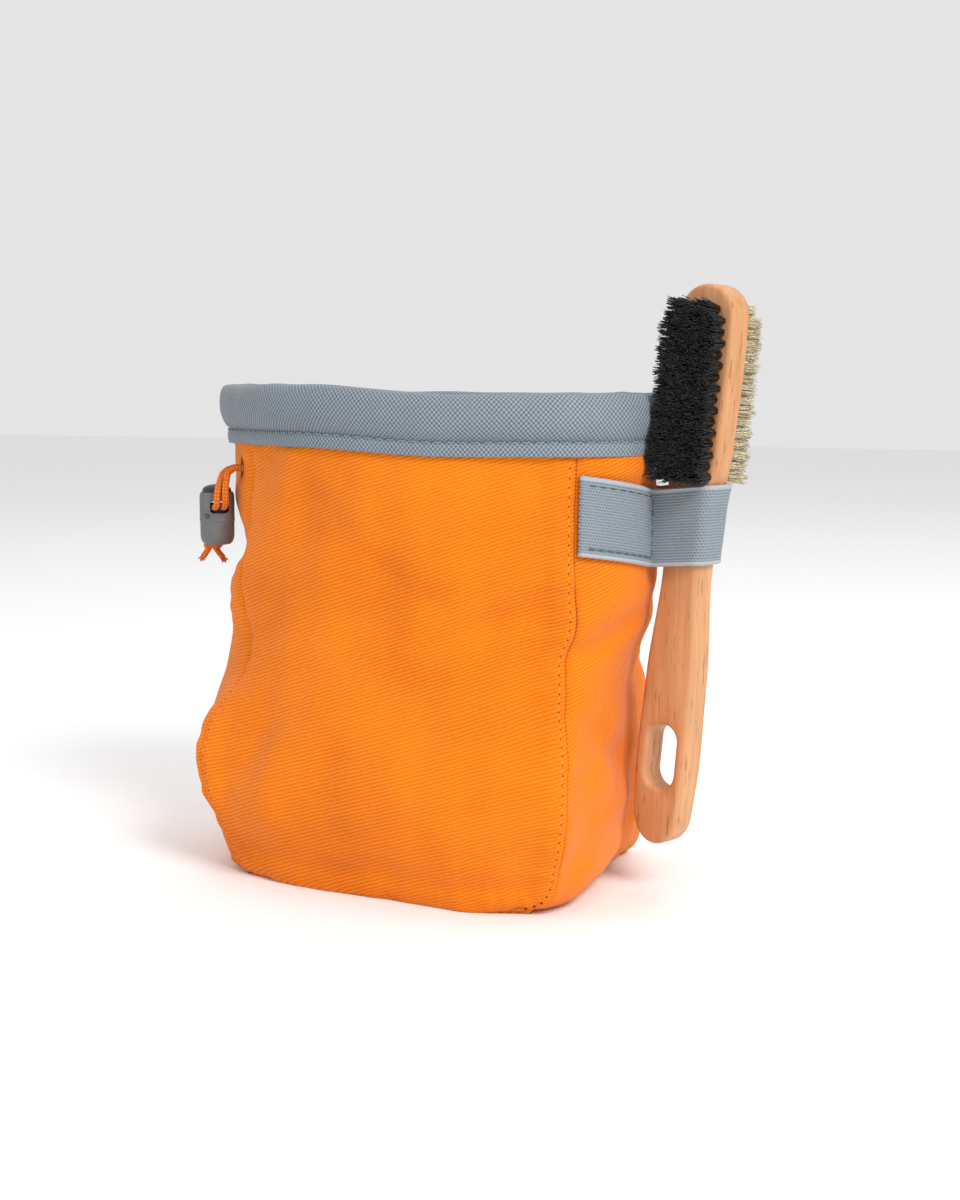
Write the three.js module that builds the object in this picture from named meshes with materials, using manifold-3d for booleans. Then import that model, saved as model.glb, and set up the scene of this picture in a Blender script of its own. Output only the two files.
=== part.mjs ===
import * as THREE from 'three';
import { mergeVertices } from 'three/addons/utils/BufferGeometryUtils.js';
import Module from 'manifold-3d';

const wasm = await Module();
wasm.setup();

// A climbing chalk bag that stands on its flat base, with a brush in its elastic loop.
// Millimetres, +Z up, the front faces -Y, the brush is on the +X side.

// The bag's main sizes
const BAG_HEIGHT = 165;
const HALF_WIDTH = 67;
const FRONT_DEPTH = 48;
const BACK_DEPTH = 45;
const SIDE_BULGE = 20;
const BOW = 2.4;
const FRONT_BELLY = 19;
const BACK_BELLY = 19;
const BACK_TAPER = 0.87;
const CORNER_RADIUS = 14;
const CLOTH = 2.2;
const GAP = 0.3;
const SEAM_SHIFT = 0.26;
const RIM_DIP = 2.8;

// The folded rim webbing
const BINDING_HEIGHT = 20.2;
const BINDING_STRIP = 4.8;
const BINDING_WALL = 1.2;
const BINDING_HEAD = 3.2;
const CHANNEL_DEPTH = 14.5;

// The inner sleeve
const COLLAR_LENGTH = 42;
const COLLAR_WALL = 1.1;
const COLLAR_ROOM = 5;
const HEM_HEIGHT = 6;
const HEM_WIDTH = 5.4;
const HEM_ROOM = 1.6;

// The belt loop on the back
const LOOP_WIDTH = 40;
const LOOP_LENGTH = 50;
const LOOP_LIFT = 9;
const LOOP_THICK = 1.6;
const LOOP_TOP = 3;
const LOOP_SEWN = 0.16;

// The brush: a beech board that leans out of the bag's right side
const BRUSH_LENGTH = 180;
const BOARD_THICK = 10;
const HEAD_WIDTH = 21;
const NECK_WIDTH = 13.6;
const GRIP_WIDTH = 19.6;
const BOARD_EDGE = 1.6;
const SLOT_WIDTH = 11;
const SLOT_LENGTH = 21.5;
const SLOT_FROM_TIP = 29;
const BRUSH_LEAN = THREE.MathUtils.degToRad(5.4);
const BRUSH_TURN = THREE.MathUtils.degToRad(-15);
const BRUSH_TIP_HEIGHT = 16.5;
const BRUSH_STANDOFF = 13.0;
const BRUSH_ALONG = 2.0;

// The tufts
const BLACK_LENGTH = 9.6;
const CREAM_LENGTH = 7.9;
const TUFT_ROWS = 13;
const TUFT_COLUMNS = 4;
const FIELD_WIDTH = 16;
const FIELD_FROM_TOP = 6;
const FIELD_ROOM = 1.3;
const TUFT_RADIUS = 1.75;
const TUFT_SPREAD = 1.10;
const TUFT_LEAN = 0.16;
const BACKING = 0.9;

// The elastic strap
const STRAP_HEIGHT = 25.4;
const STRAP_THICK = 1.8;
const STRAP_BELOW_RIM = 5.7;
const STRAP_DROP = 5.4;
const STRAP_STITCH = 0.42;
const STRAP_REAR = 0.68;
const STRAP_END = 0.95;
const STRAP_EASE = 0.5;

// The cord lock: a barrel with a sprung button on top
const CORD = 2.3;
const LOCK_RADIUS = 6.0;
const LOCK_HEIGHT = 18.3;
const LOCK_BOTTOM = 109.5;
const LOCK_FLOOR = 2.5;
const RECESS_RADIUS = 5.3;
const RECESS_DEPTH = 2.4;
const BORE_RADIUS = 4.2;
const BUTTON_FIT = 0.3;
const BUTTON_PROUD = 2.7;
const BUTTON_TRAVEL = 1.8;
const CORD_HOLE_WIDTH = 6.6;
const CORD_HOLE_HEIGHT = 4.2;
const DIMPLE_RADIUS = 1.3;
const DIMPLE_DEPTH = 1.0;
const KNOT_RADIUS = 3.7;
const TAIL_LENGTH = 6.5;

// The hole that the cord leaves the left side by
const EYELET_WIDTH = 7.5;
const EYELET_HEIGHT = 7;
const EYELET_BELOW_RIM = 28.5;
const EYELET_SHARE = 0.9;

// The route of the pair of cord strands, from the hem inside, up between the cloth and the sleeve,
// out of the hole, through the lock and down to the knot. spread is the direction, in degrees from
// +X, in which the two strands lie beside each other.
const CORD_ROUTE = [
  { x: -60.5, y: -21.0, z: 109.3, spread: 127 },
  { x: -63.8, y: -19.8, z: 120.0, spread: 127 },
  { x: -64.8, y: -18.9, z: 127.0, spread: 127 },
  { x: -65.2, y: -18.5, z: 132.0, spread: 127 },
  { x: -66.6, y: -19.3, z: 135.4, spread: 127 },
  { x: -69.9, y: -21.7, z: 136.4, spread: 135 },
  { x: -72.2, y: -24.6, z: 135.0, spread: 152 },
  { x: -71.8, y: -27.6, z: 131.6, spread: 172 },
  { x: -71.4, y: -29.3, z: 127.6, spread: 194 },
  { x: -72.0, y: -28.6, z: 124.4, spread: 214 },
  { x: -73.9, y: -26.6, z: 123.0, spread: 225 },
  { x: -78.3, y: -22.2, z: 122.75, spread: 225 },
  { x: -82.7, y: -17.8, z: 122.6, spread: 225 },
  { x: -85.1, y: -15.4, z: 121.0, spread: 225 },
  { x: -86.0, y: -14.6, z: 117.8, spread: 225 },
  { x: -86.0, y: -14.6, z: 113.1, spread: 225 },
];
const LOCK_SPOT = CORD_ROUTE[11];
const STRAND_APART = CORD + 2 * GAP;

// The bag's horizontal sections, each length a share of the size that it follows:
// at of BAG_HEIGHT, half of HALF_WIDTH, front of FRONT_DEPTH, back of BACK_DEPTH, left and right of
// SIDE_BULGE, belly of FRONT_BELLY, rear of BACK_BELLY.
const SECTIONS = [
  { at: 0.00, half: 0.98, front: 0.90, back: 0.89, left: 0.70, right: 0.28, belly: 0.30, rear: 0.35 },
  { at: 0.05, half: 0.94, front: 0.91, back: 0.92, left: 0.70, right: 0.28, belly: 0.35, rear: 0.40 },
  { at: 0.10, half: 0.95, front: 0.94, back: 0.96, left: 0.71, right: 0.25, belly: 0.48, rear: 0.45 },
  { at: 0.18, half: 1.00, front: 1.00, back: 1.00, left: 0.76, right: 0.20, belly: 0.48, rear: 0.50 },
  { at: 0.30, half: 0.99, front: 0.94, back: 0.99, left: 0.96, right: 0.22, belly: 0.52, rear: 0.52 },
  { at: 0.36, half: 0.95, front: 0.83, back: 0.97, left: 1.13, right: 0.32, belly: 0.60, rear: 0.54 },
  { at: 0.42, half: 0.90, front: 0.70, back: 0.93, left: 1.28, right: 0.46, belly: 0.72, rear: 0.55 },
  { at: 0.48, half: 0.89, front: 0.65, back: 0.89, left: 1.34, right: 0.62, belly: 0.80, rear: 0.60 },
  { at: 0.55, half: 0.92, front: 0.64, back: 0.84, left: 1.16, right: 0.75, belly: 0.80, rear: 0.65 },
  { at: 0.65, half: 0.93, front: 0.68, back: 0.80, left: 0.73, right: 0.80, belly: 0.80, rear: 0.72 },
  { at: 0.75, half: 0.91, front: 0.61, back: 0.73, left: 1.03, right: 0.87, belly: 0.90, rear: 0.85 },
  { at: 0.87, half: 0.90, front: 0.56, back: 0.67, left: 1.18, right: 0.89, belly: 0.98, rear: 1.00 },
  { at: 1.00, half: 0.90, front: 0.56, back: 0.64, left: 1.26, right: 0.87, belly: 0.98, rear: 1.00 },
];

// Dents and soft folds: x of HALF_WIDTH, y of FRONT_DEPTH, z of BAG_HEIGHT for the middle; long, wide
// and deep as shares of HALF_WIDTH; turn in degrees from level. A negative depth swells out.
const FOLDS = [
  { x: -0.45, y: -1.00, z: 0.80, long: 0.42, wide: 0.075, turn: -38, deep: 0.022 },
  { x: -0.05, y: -1.00, z: 0.66, long: 0.50, wide: 0.085, turn: -24, deep: 0.020 },
  { x: 0.45, y: -1.00, z: 0.52, long: 0.36, wide: 0.080, turn: 30, deep: 0.026 },
  { x: -0.60, y: -1.00, z: 0.30, long: 0.34, wide: 0.090, turn: 52, deep: 0.022 },
  { x: 0.15, y: -1.10, z: 0.24, long: 0.60, wide: 0.120, turn: 8, deep: -0.024 },
  { x: 1.00, y: -0.40, z: 0.52, long: 0.34, wide: 0.080, turn: 24, deep: 0.036 },
  { x: 0.98, y: -0.30, z: 0.30, long: 0.40, wide: 0.085, turn: -30, deep: 0.034 },
  { x: 0.85, y: 0.65, z: 0.15, long: 0.34, wide: 0.090, turn: 20, deep: -0.030 },
  { x: -1.05, y: -0.35, z: 0.66, long: 0.32, wide: 0.110, turn: 10, deep: 0.050 },
  { x: -1.05, y: 0.25, z: 0.40, long: 0.45, wide: 0.120, turn: -25, deep: 0.034 },
  { x: -0.25, y: 1.20, z: 0.42, long: 0.55, wide: 0.100, turn: 18, deep: 0.034 },
  { x: 0.35, y: 1.20, z: 0.26, long: 0.45, wide: 0.100, turn: -28, deep: 0.030 },
];

// The shares of BAG_HEIGHT between which the folds lie
const FOLDS_START = 0.06;
const FOLDS_END = 0.86;

// Rows of the cloth grids: the steps of the rounded lower corner, then even steps to the top
const CORNER_STEPS = 4;
const UPPER_STEPS = 15;
const PANEL_COLUMNS = 12;
const GUSSET_COLUMNS = 8;

const COLUMN_CROWD = 0.09;

const CLOTH_TOP = BAG_HEIGHT - BINDING_HEIGHT + CHANNEL_DEPTH - GAP;
const STRAP_TOP = BAG_HEIGHT - BINDING_HEIGHT - STRAP_BELOW_RIM - STRAP_DROP;
const STRAP_MIDDLE = STRAP_TOP - STRAP_HEIGHT / 2;
const FIELD_FOOT = (STRAP_TOP + FIELD_ROOM - BRUSH_TIP_HEIGHT) / Math.cos(BRUSH_LEAN);
const FIELD_LENGTH = BRUSH_LENGTH - FIELD_FROM_TOP - FIELD_FOOT;
const SIDE_DEPTH = FRONT_DEPTH + BACK_DEPTH;
const FRONT = 'front';
const RIGHT = 'right';
const BACK = 'back';
const LEFT = 'left';
const SIDES = [FRONT, RIGHT, BACK, LEFT];

const fabric = (color, roughness) => new THREE.MeshStandardMaterial({ color, roughness, metalness: 0 });
const ORANGE_TWILL = fabric(0xe8801c, 0.85);
const GREY_WEBBING = fabric(0x7a858f, 0.8);
const GREY_LINING = fabric(0x6d747b, 0.85);
const GREY_ELASTIC = fabric(0x8b98a3, 0.75);
const BEECH = new THREE.MeshStandardMaterial({ color: 0xcf945f, roughness: 0.5, metalness: 0 });
const BLACK_BRISTLE = fabric(0x121212, 0.6);
const CREAM_BRISTLE = fabric(0xcfc09a, 0.7);
const ORANGE_CORD = fabric(0xd9641a, 0.8);
const LOCK_GREY = new THREE.MeshStandardMaterial({ color: 0x66686b, roughness: 0.45, metalness: 0 });
const LOCK_DARK = new THREE.MeshStandardMaterial({ color: 0x2a2b2d, roughness: 0.5, metalness: 0 });

// One column of the sections at a height share, by a cubic through its rows
function sectionValue(column, share) {
  const last = SECTIONS.length - 1;
  const at = Math.min(Math.max(share, 0), 1);
  let low = 0;
  while (low < last - 1 && SECTIONS[low + 1].at < at) low += 1;
  const row = (index) => SECTIONS[Math.min(Math.max(index, 0), last)];
  const slope = (index) => {
    const rise = row(index + 1)[column] - row(index - 1)[column];
    return rise / (row(index + 1).at - row(index - 1).at);
  };
  const step = row(low + 1).at - row(low).at;
  const t = (at - row(low).at) / step;
  const startPart = (1 + 2 * t) * (1 - t) ** 2 * row(low)[column] + t * (1 - t) ** 2 * slope(low) * step;
  const endPart = t * t * (3 - 2 * t) * row(low + 1)[column] + t * t * (t - 1) * slope(low + 1) * step;
  return startPart + endPart;
}

// How far the seams draw in where the lower corners are rounded
function cornerDraw(z, inset) {
  const radius = CORNER_RADIUS - inset;
  const below = Math.min(Math.max(CORNER_RADIUS - z, 0), radius);
  return radius - Math.sqrt(radius * radius - below * below);
}

function sectionAt(z, inset) {
  const share = z / BAG_HEIGHT;
  const draw = cornerDraw(z, inset);
  const half = HALF_WIDTH * sectionValue('half', share);
  return {
    frontX: half - inset - draw,
    backX: half * BACK_TAPER - inset - draw,
    frontY: -(FRONT_DEPTH * sectionValue('front', share) - inset),
    backY: BACK_DEPTH * sectionValue('back', share) - inset,
    left: SIDE_BULGE * sectionValue('left', share) * (1 - draw / (CORNER_RADIUS - inset)),
    right: SIDE_BULGE * sectionValue('right', share) * (1 - draw / (CORNER_RADIUS - inset)),
    belly: FRONT_BELLY * sectionValue('belly', share),
    rear: BACK_BELLY * sectionValue('rear', share),
  };
}

// A point of the cloth before its folds: side and share run round the bag seen from above, from the
// front left seam; inset is the depth below the outer face, negative outside it
function plainPoint(side, share, z, inset) {
  const cut = sectionAt(z, inset);
  const bow = 1 - Math.abs(2 * share - 1) ** BOW;
  const corners = [
    new THREE.Vector3(-cut.frontX, cut.frontY, z),
    new THREE.Vector3(cut.frontX, cut.frontY, z),
    new THREE.Vector3(cut.backX, cut.backY, z),
    new THREE.Vector3(-cut.backX, cut.backY, z),
  ];
  const bulges = [
    new THREE.Vector3(0, -cut.belly, 0),
    new THREE.Vector3(cut.right, 0, 0),
    new THREE.Vector3(0, cut.rear, 0),
    new THREE.Vector3(-cut.left, 0, 0),
  ];
  const at = SIDES.indexOf(side);
  return corners[at].lerp(corners[(at + 1) % SIDES.length], share).addScaledVector(bulges[at], bow);
}

// The sum of the folds at a point of the outer face, as a level push
function foldPush(point) {
  const push = new THREE.Vector3();
  for (const fold of FOLDS) {
    const middle = new THREE.Vector3(fold.x * HALF_WIDTH, fold.y * FRONT_DEPTH, fold.z * BAG_HEIGHT);
    const out = new THREE.Vector3(middle.x / HALF_WIDTH, middle.y / FRONT_DEPTH, 0).normalize();
    const along = new THREE.Vector3(-out.y, out.x, 0);
    const offset = point.clone().sub(middle);
    const level = offset.dot(along);
    const angle = THREE.MathUtils.degToRad(fold.turn);
    const lengthways = level * Math.cos(angle) + offset.z * Math.sin(angle);
    const crossways = -level * Math.sin(angle) + offset.z * Math.cos(angle);
    const through = offset.dot(out) / (0.55 * HALF_WIDTH);
    const far = (lengthways / (fold.long * HALF_WIDTH)) ** 2 + (crossways / (fold.wide * HALF_WIDTH)) ** 2;
    const size = fold.deep * HALF_WIDTH * Math.exp(-far - through * through);
    push.addScaledVector(out, -size);
  }
  return push;
}

// How far the soft rim sinks everywhere but at the left front; turn counts the sides from the front
function rimDip(turn, z) {
  const { smoothstep } = THREE.MathUtils;
  const reach = smoothstep(turn, 0.25, 0.7) * (1 - smoothstep(turn, 2.9, 3.5));
  return RIM_DIP * reach * Math.max(z / BAG_HEIGHT, 0) ** 2;
}

function clothPoint(side, share, z, inset = 0) {
  const push = foldPush(plainPoint(side, share, z, 0));
  const { smoothstep } = THREE.MathUtils;
  const high = FOLDS_END * BAG_HEIGHT;
  const fade = smoothstep(z, 0, FOLDS_START * BAG_HEIGHT) * (1 - smoothstep(z, high - BINDING_HEIGHT, high));
  const point = plainPoint(side, share, z, inset).addScaledVector(push, fade);
  point.z -= rimDip(SIDES.indexOf(side) + share, z);
  return point;
}

// The shares of the columns across a side, closer together near the seams where the plan turns most
function columnShares(side) {
  const isPanel = side === FRONT || side === BACK;
  const count = isPanel ? PANEL_COLUMNS : GUSSET_COLUMNS;
  const edge = SEAM_SHIFT / (isPanel ? HALF_WIDTH : SIDE_DEPTH / 2);
  const shares = [];
  for (let j = 0; j <= count; j += 1) {
    const even = j / count;
    const crowded = even - COLUMN_CROWD * Math.sin(2 * Math.PI * even);
    shares.push(edge + (1 - 2 * edge) * crowded);
  }
  return shares;
}

// The heights of the cloth rows, outer or inner
function clothHeights(inset) {
  const heights = [];
  for (let step = 0; step <= CORNER_STEPS; step += 1) {
    const angle = (Math.PI / 2) * (step / CORNER_STEPS);
    heights.push(CORNER_RADIUS - (CORNER_RADIUS - inset) * Math.cos(angle));
  }
  for (let step = 1; step <= UPPER_STEPS; step += 1) {
    heights.push(CORNER_RADIUS + (CLOTH_TOP - CORNER_RADIUS) * (step / UPPER_STEPS));
  }
  return heights;
}

// A closed body between two grids of points, whose right-hand faces point out of the first
function wallBetween(outer, inner) {
  const rows = outer.length;
  const columns = outer[0].length;
  const positions = [];
  for (const grid of [outer, inner]) {
    for (const line of grid) {
      for (const point of line) positions.push(point.x, point.y, point.z);
    }
  }
  const spot = (layer, i, j) => layer * rows * columns + i * columns + j;
  const index = [];
  const quad = (a, b, c, d) => index.push(a, b, c, a, c, d);
  for (let i = 0; i < rows - 1; i += 1) {
    for (let j = 0; j < columns - 1; j += 1) {
      quad(spot(0, i, j), spot(0, i, j + 1), spot(0, i + 1, j + 1), spot(0, i + 1, j));
      quad(spot(1, i, j), spot(1, i + 1, j), spot(1, i + 1, j + 1), spot(1, i, j + 1));
    }
  }
  for (let i = 0; i < rows - 1; i += 1) {
    quad(spot(0, i, 0), spot(0, i + 1, 0), spot(1, i + 1, 0), spot(1, i, 0));
    const j = columns - 1;
    quad(spot(0, i + 1, j), spot(0, i, j), spot(1, i, j), spot(1, i + 1, j));
  }
  for (let j = 0; j < columns - 1; j += 1) {
    quad(spot(0, 0, j + 1), spot(0, 0, j), spot(1, 0, j), spot(1, 0, j + 1));
    const i = rows - 1;
    quad(spot(0, i, j), spot(0, i, j + 1), spot(1, i, j + 1), spot(1, i, j));
  }
  return indexedGeometry(positions, index);
}

function indexedGeometry(positions, index) {
  const geometry = new THREE.BufferGeometry();
  geometry.setAttribute('position', new THREE.Float32BufferAttribute(positions, 3));
  geometry.setIndex(index);
  return geometry;
}

// A closed ring: each station holds a closed profile of points, in the same order
function ringThrough(stations) {
  const count = stations.length;
  const size = stations[0].length;
  const positions = [];
  for (const station of stations) {
    for (const point of station) positions.push(point.x, point.y, point.z);
  }
  const index = [];
  for (let i = 0; i < count; i += 1) {
    const next = (i + 1) % count;
    for (let j = 0; j < size; j += 1) {
      const up = (j + 1) % size;
      index.push(i * size + j, next * size + j, next * size + up);
      index.push(i * size + j, next * size + up, i * size + up);
    }
  }
  return indexedGeometry(positions, index);
}

// Solids for cutting and joining
function toSolid(geometry) {
  const bare = geometry.clone();
  bare.deleteAttribute('normal');
  bare.deleteAttribute('uv');
  const merged = mergeVertices(bare, 1e-4);
  const vertProperties = Float32Array.from(merged.attributes.position.array);
  const whole = [];
  for (let i = 0; i < merged.index.count; i += 3) {
    const [a, b, c] = [0, 1, 2].map((k) => merged.index.array[i + k]);
    if (a !== b && b !== c && c !== a) whole.push(a, b, c);
  }
  const triVerts = Uint32Array.from(whole);
  return new wasm.Manifold(new wasm.Mesh({ numProp: 3, vertProperties, triVerts }));
}

function toGeometry(solid) {
  const mesh = solid.getMesh();
  return indexedGeometry(Array.from(mesh.vertProperties), Array.from(mesh.triVerts));
}

function namedMesh(name, geometry, material) {
  const mesh = new THREE.Mesh(geometry, material);
  mesh.name = name;
  geometry.computeVertexNormals();
  return mesh;
}

// Front or back panel: a U outline whose lower corners are rounded
function panelGrid(side, inset) {
  return clothHeights(inset).map((z) => {
    const lift = SEAM_SHIFT * Math.max(0, 1 - (z - inset) / CORNER_RADIUS);
    return columnShares(side).map((share) => {
      const point = clothPoint(side, share, z, inset);
      point.z += lift;
      return point;
    });
  });
}

function makePanel(name, side) {
  return namedMesh(name, wallBetween(panelGrid(side, 0), panelGrid(side, CLOTH)), ORANGE_TWILL);
}

// The strip that runs down the left side, under the base and up the right side
function gussetGrid(inset) {
  const heights = clothHeights(inset);
  const across = columnShares(RIGHT);
  const leftLine = (z) => across.map((share) => clothPoint(LEFT, 1 - share, z, inset));
  const rightLine = (z) => across.map((share) => clothPoint(RIGHT, share, z, inset));
  const baseLine = (along) => {
    const front = clothPoint(FRONT, along, inset, inset);
    const back = clothPoint(BACK, 1 - along, inset, inset);
    return across.map((share) => front.clone().lerp(back, share));
  };
  const rightward = columnShares(FRONT).slice(1, -1);
  return [...[...heights].reverse().map(leftLine), ...rightward.map(baseLine), ...heights.map(rightLine)];
}

// The hole in the left side that the two cord strands leave by
function eyeletCutter() {
  const box = new THREE.BoxGeometry(SIDE_BULGE, EYELET_WIDTH, EYELET_HEIGHT);
  const middle = eyeletPoint(0);
  const outward = eyeletPoint(-1).sub(eyeletPoint(0)).normalize();
  box.rotateZ(Math.atan2(outward.y, outward.x));
  box.translate(middle.x, middle.y, middle.z);
  return toSolid(box);
}

function eyeletPoint(inset) {
  return clothPoint(LEFT, EYELET_SHARE, BAG_HEIGHT - EYELET_BELOW_RIM, inset);
}

function makeGusset() {
  const strip = toSolid(wallBetween(gussetGrid(0), gussetGrid(CLOTH)));
  return namedMesh('gusset_strip', toGeometry(strip.subtract(eyeletCutter())), ORANGE_TWILL);
}

// A ring round the bag with a station at each column of the cloth, so that both turn alike
function ringOfProfile(profile) {
  const stations = [];
  for (const side of SIDES) {
    for (const share of columnShares(side)) {
      stations.push(profile.map((row) => clothPoint(side, share, row.z, row.inset)));
    }
  }
  return ringThrough(stations);
}

// The folded webbing over the cloth's top edge: a padded head and a flat strip on each face
function makeBinding() {
  const outside = -GAP;
  const inside = CLOTH + GAP;
  const foot = BAG_HEIGHT - BINDING_HEIGHT;
  const waist = foot + BINDING_STRIP;
  const head = BAG_HEIGHT - waist;
  const roof = foot + CHANNEL_DEPTH;
  const profile = [
    { inset: outside - BINDING_WALL, z: foot },
    { inset: outside - BINDING_WALL, z: waist },
    { inset: outside - 0.80 * BINDING_HEAD, z: waist + 0.20 * head },
    { inset: outside - BINDING_HEAD, z: waist + 0.52 * head },
    { inset: outside - 0.78 * BINDING_HEAD, z: waist + 0.84 * head },
    { inset: outside - 0.25 * BINDING_HEAD, z: BAG_HEIGHT - 0.03 * head },
    { inset: inside + 0.10 * BINDING_HEAD, z: BAG_HEIGHT },
    { inset: inside + 0.70 * BINDING_HEAD, z: waist + 0.80 * head },
    { inset: inside + 0.85 * BINDING_HEAD, z: waist + 0.45 * head },
    { inset: inside + BINDING_WALL, z: waist },
    { inset: inside + BINDING_WALL, z: foot },
    { inset: inside, z: foot },
    { inset: inside, z: roof },
    { inset: outside, z: roof },
    { inset: outside, z: foot },
  ];
  return namedMesh('rim_binding', ringOfProfile(profile), GREY_WEBBING);
}

// The sleeve that hangs inside the rim, with the drawcord's hem at its lower end
function makeCollar() {
  const top = BAG_HEIGHT - BINDING_HEIGHT - GAP;
  const hem = top - COLLAR_LENGTH + HEM_HEIGHT;
  const wall = CLOTH + GAP + COLLAR_ROOM;
  const near = CLOTH + GAP;
  const hemFace = near + HEM_ROOM;
  const profile = [
    { inset: near, z: top },
    { inset: near + COLLAR_WALL, z: top },
    { inset: wall + COLLAR_WALL, z: top - 0.24 * COLLAR_LENGTH },
    { inset: wall + COLLAR_WALL, z: hem },
    { inset: hemFace + HEM_WIDTH, z: hem - 0.3 * HEM_HEIGHT },
    { inset: hemFace + 0.92 * HEM_WIDTH, z: hem - HEM_HEIGHT },
    { inset: hemFace + 0.08 * HEM_WIDTH, z: hem - HEM_HEIGHT },
    { inset: hemFace, z: hem - 0.3 * HEM_HEIGHT },
    { inset: hemFace + 0.05 * HEM_WIDTH, z: hem },
    { inset: wall, z: hem + 0.07 * HEM_HEIGHT },
    { inset: wall, z: top - 0.24 * COLLAR_LENGTH },
  ];
  return namedMesh('closure_collar', ringOfProfile(profile), GREY_LINING);
}

// The webbing loop on the back, sewn at its two ends and arched between them
function loopGrid(inset) {
  const top = BAG_HEIGHT - BINDING_HEIGHT - LOOP_TOP;
  const rows = 12;
  const lines = [];
  for (let i = 0; i <= rows; i += 1) {
    const up = i / rows;
    const z = top - LOOP_LENGTH + LOOP_LENGTH * up;
    const rise = Math.min(Math.max((Math.min(up, 1 - up) - LOOP_SEWN) / 0.2, 0), 1);
    const lift = LOOP_LIFT * rise * rise * (3 - 2 * rise);
    const halfShare = LOOP_WIDTH / (4 * sectionAt(z, inset - lift).backX);
    const line = [];
    for (let j = 0; j <= 6; j += 1) {
      const share = 0.5 - halfShare + 2 * halfShare * (j / 6);
      line.push(clothPoint(BACK, share, z, inset - lift));
    }
    lines.push(line);
  }
  return lines;
}

function makeBeltLoop() {
  return namedMesh('belt_loop', wallBetween(loopGrid(-GAP - LOOP_THICK), loopGrid(-GAP)), GREY_WEBBING);
}

// The brush's own frame: x across the board, y through it, z from its tip to its head
function brushFrame() {
  const strapSeat = clothPoint(RIGHT, STRAP_STITCH, STRAP_MIDDLE, 0);
  const centre = new THREE.Vector3(strapSeat.x + BRUSH_STANDOFF, BRUSH_ALONG, STRAP_MIDDLE);
  const up = new THREE.Vector3(Math.sin(BRUSH_LEAN), 0, Math.cos(BRUSH_LEAN));
  const across = new THREE.Vector3(Math.cos(BRUSH_TURN), Math.sin(BRUSH_TURN), 0);
  across.addScaledVector(up, -across.dot(up)).normalize();
  const through = new THREE.Vector3().crossVectors(up, across);
  const fromTip = (STRAP_MIDDLE - BRUSH_TIP_HEIGHT) / up.z;
  const origin = centre.clone().addScaledVector(up, -fromTip);
  return new THREE.Matrix4().makeBasis(across, through, up).setPosition(origin);
}

// The board's half width at a share of its length from the tip
function boardHalf(share) {
  const marks = [
    { at: 0.00, half: 0.42 * GRIP_WIDTH },
    { at: 0.16, half: 0.50 * GRIP_WIDTH },
    { at: 0.30, half: 0.47 * GRIP_WIDTH },
    { at: 0.50, half: 0.50 * NECK_WIDTH },
    { at: 0.60, half: 0.53 * NECK_WIDTH },
    { at: 0.72, half: 0.47 * HEAD_WIDTH },
    { at: 0.86, half: 0.50 * HEAD_WIDTH },
    { at: 1.00, half: 0.48 * HEAD_WIDTH },
  ];
  let low = 0;
  while (low < marks.length - 2 && marks[low + 1].at < share) low += 1;
  const t = Math.min(Math.max((share - marks[low].at) / (marks[low + 1].at - marks[low].at), 0), 1);
  return THREE.MathUtils.lerp(marks[low].half, marks[low + 1].half, t * t * (3 - 2 * t));
}

// The board's half width with its rounded ends
function boardOutline(along) {
  const share = along / BRUSH_LENGTH;
  const arc = 0.47 * GRIP_WIDTH;
  const fromEnd = Math.min(along, BRUSH_LENGTH - along);
  const round = fromEnd < arc ? Math.sqrt(1 - (1 - fromEnd / arc) ** 2) : 1;
  return (boardHalf(share) - BOARD_EDGE) * round;
}

function makeHandle(frame) {
  const alongs = [];
  const arc = 0.47 * GRIP_WIDTH;
  for (let step = 0; step <= 5; step += 1) alongs.push(arc * (1 - Math.cos((Math.PI / 2) * (step / 5))));
  for (let step = 1; step < 18; step += 1) alongs.push(arc + (BRUSH_LENGTH - 2 * arc) * (step / 18));
  for (let step = 5; step >= 0; step -= 1) {
    alongs.push(BRUSH_LENGTH - arc * (1 - Math.cos((Math.PI / 2) * (step / 5))));
  }
  const shape = new THREE.Shape();
  const outline = [];
  for (const along of alongs) outline.push(new THREE.Vector2(boardOutline(along), along));
  for (const along of alongs.slice(1, -1).reverse()) {
    outline.push(new THREE.Vector2(-boardOutline(along), along));
  }
  const shorten = 1 - 2 * BOARD_EDGE / BRUSH_LENGTH;
  shape.setFromPoints(outline.map((p) => new THREE.Vector2(p.x, BOARD_EDGE + p.y * shorten)));
  const board = new THREE.ExtrudeGeometry(shape, {
    depth: BOARD_THICK - 2 * BOARD_EDGE,
    bevelEnabled: true,
    bevelThickness: BOARD_EDGE,
    bevelSize: BOARD_EDGE,
    bevelSegments: 2,
    steps: 1,
  });
  board.translate(0, 0, -(BOARD_THICK - 2 * BOARD_EDGE) / 2);
  board.rotateX(Math.PI / 2);
  const slot = new THREE.Shape();
  const radius = SLOT_WIDTH / 2;
  const reach = SLOT_LENGTH / 2 - radius;
  slot.absarc(0, SLOT_FROM_TIP + reach, radius, 0, Math.PI, false);
  slot.absarc(0, SLOT_FROM_TIP - reach, radius, Math.PI, 2 * Math.PI, false);
  const through = { depth: 2 * BOARD_THICK, bevelEnabled: false, curveSegments: 8 };
  const cutter = new THREE.ExtrudeGeometry(slot, through);
  cutter.translate(0, 0, -BOARD_THICK);
  cutter.rotateX(Math.PI / 2);
  const solid = toSolid(board).subtract(toSolid(cutter));
  return namedMesh('brush_handle', toGeometry(solid).applyMatrix4(frame), BEECH);
}

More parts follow.
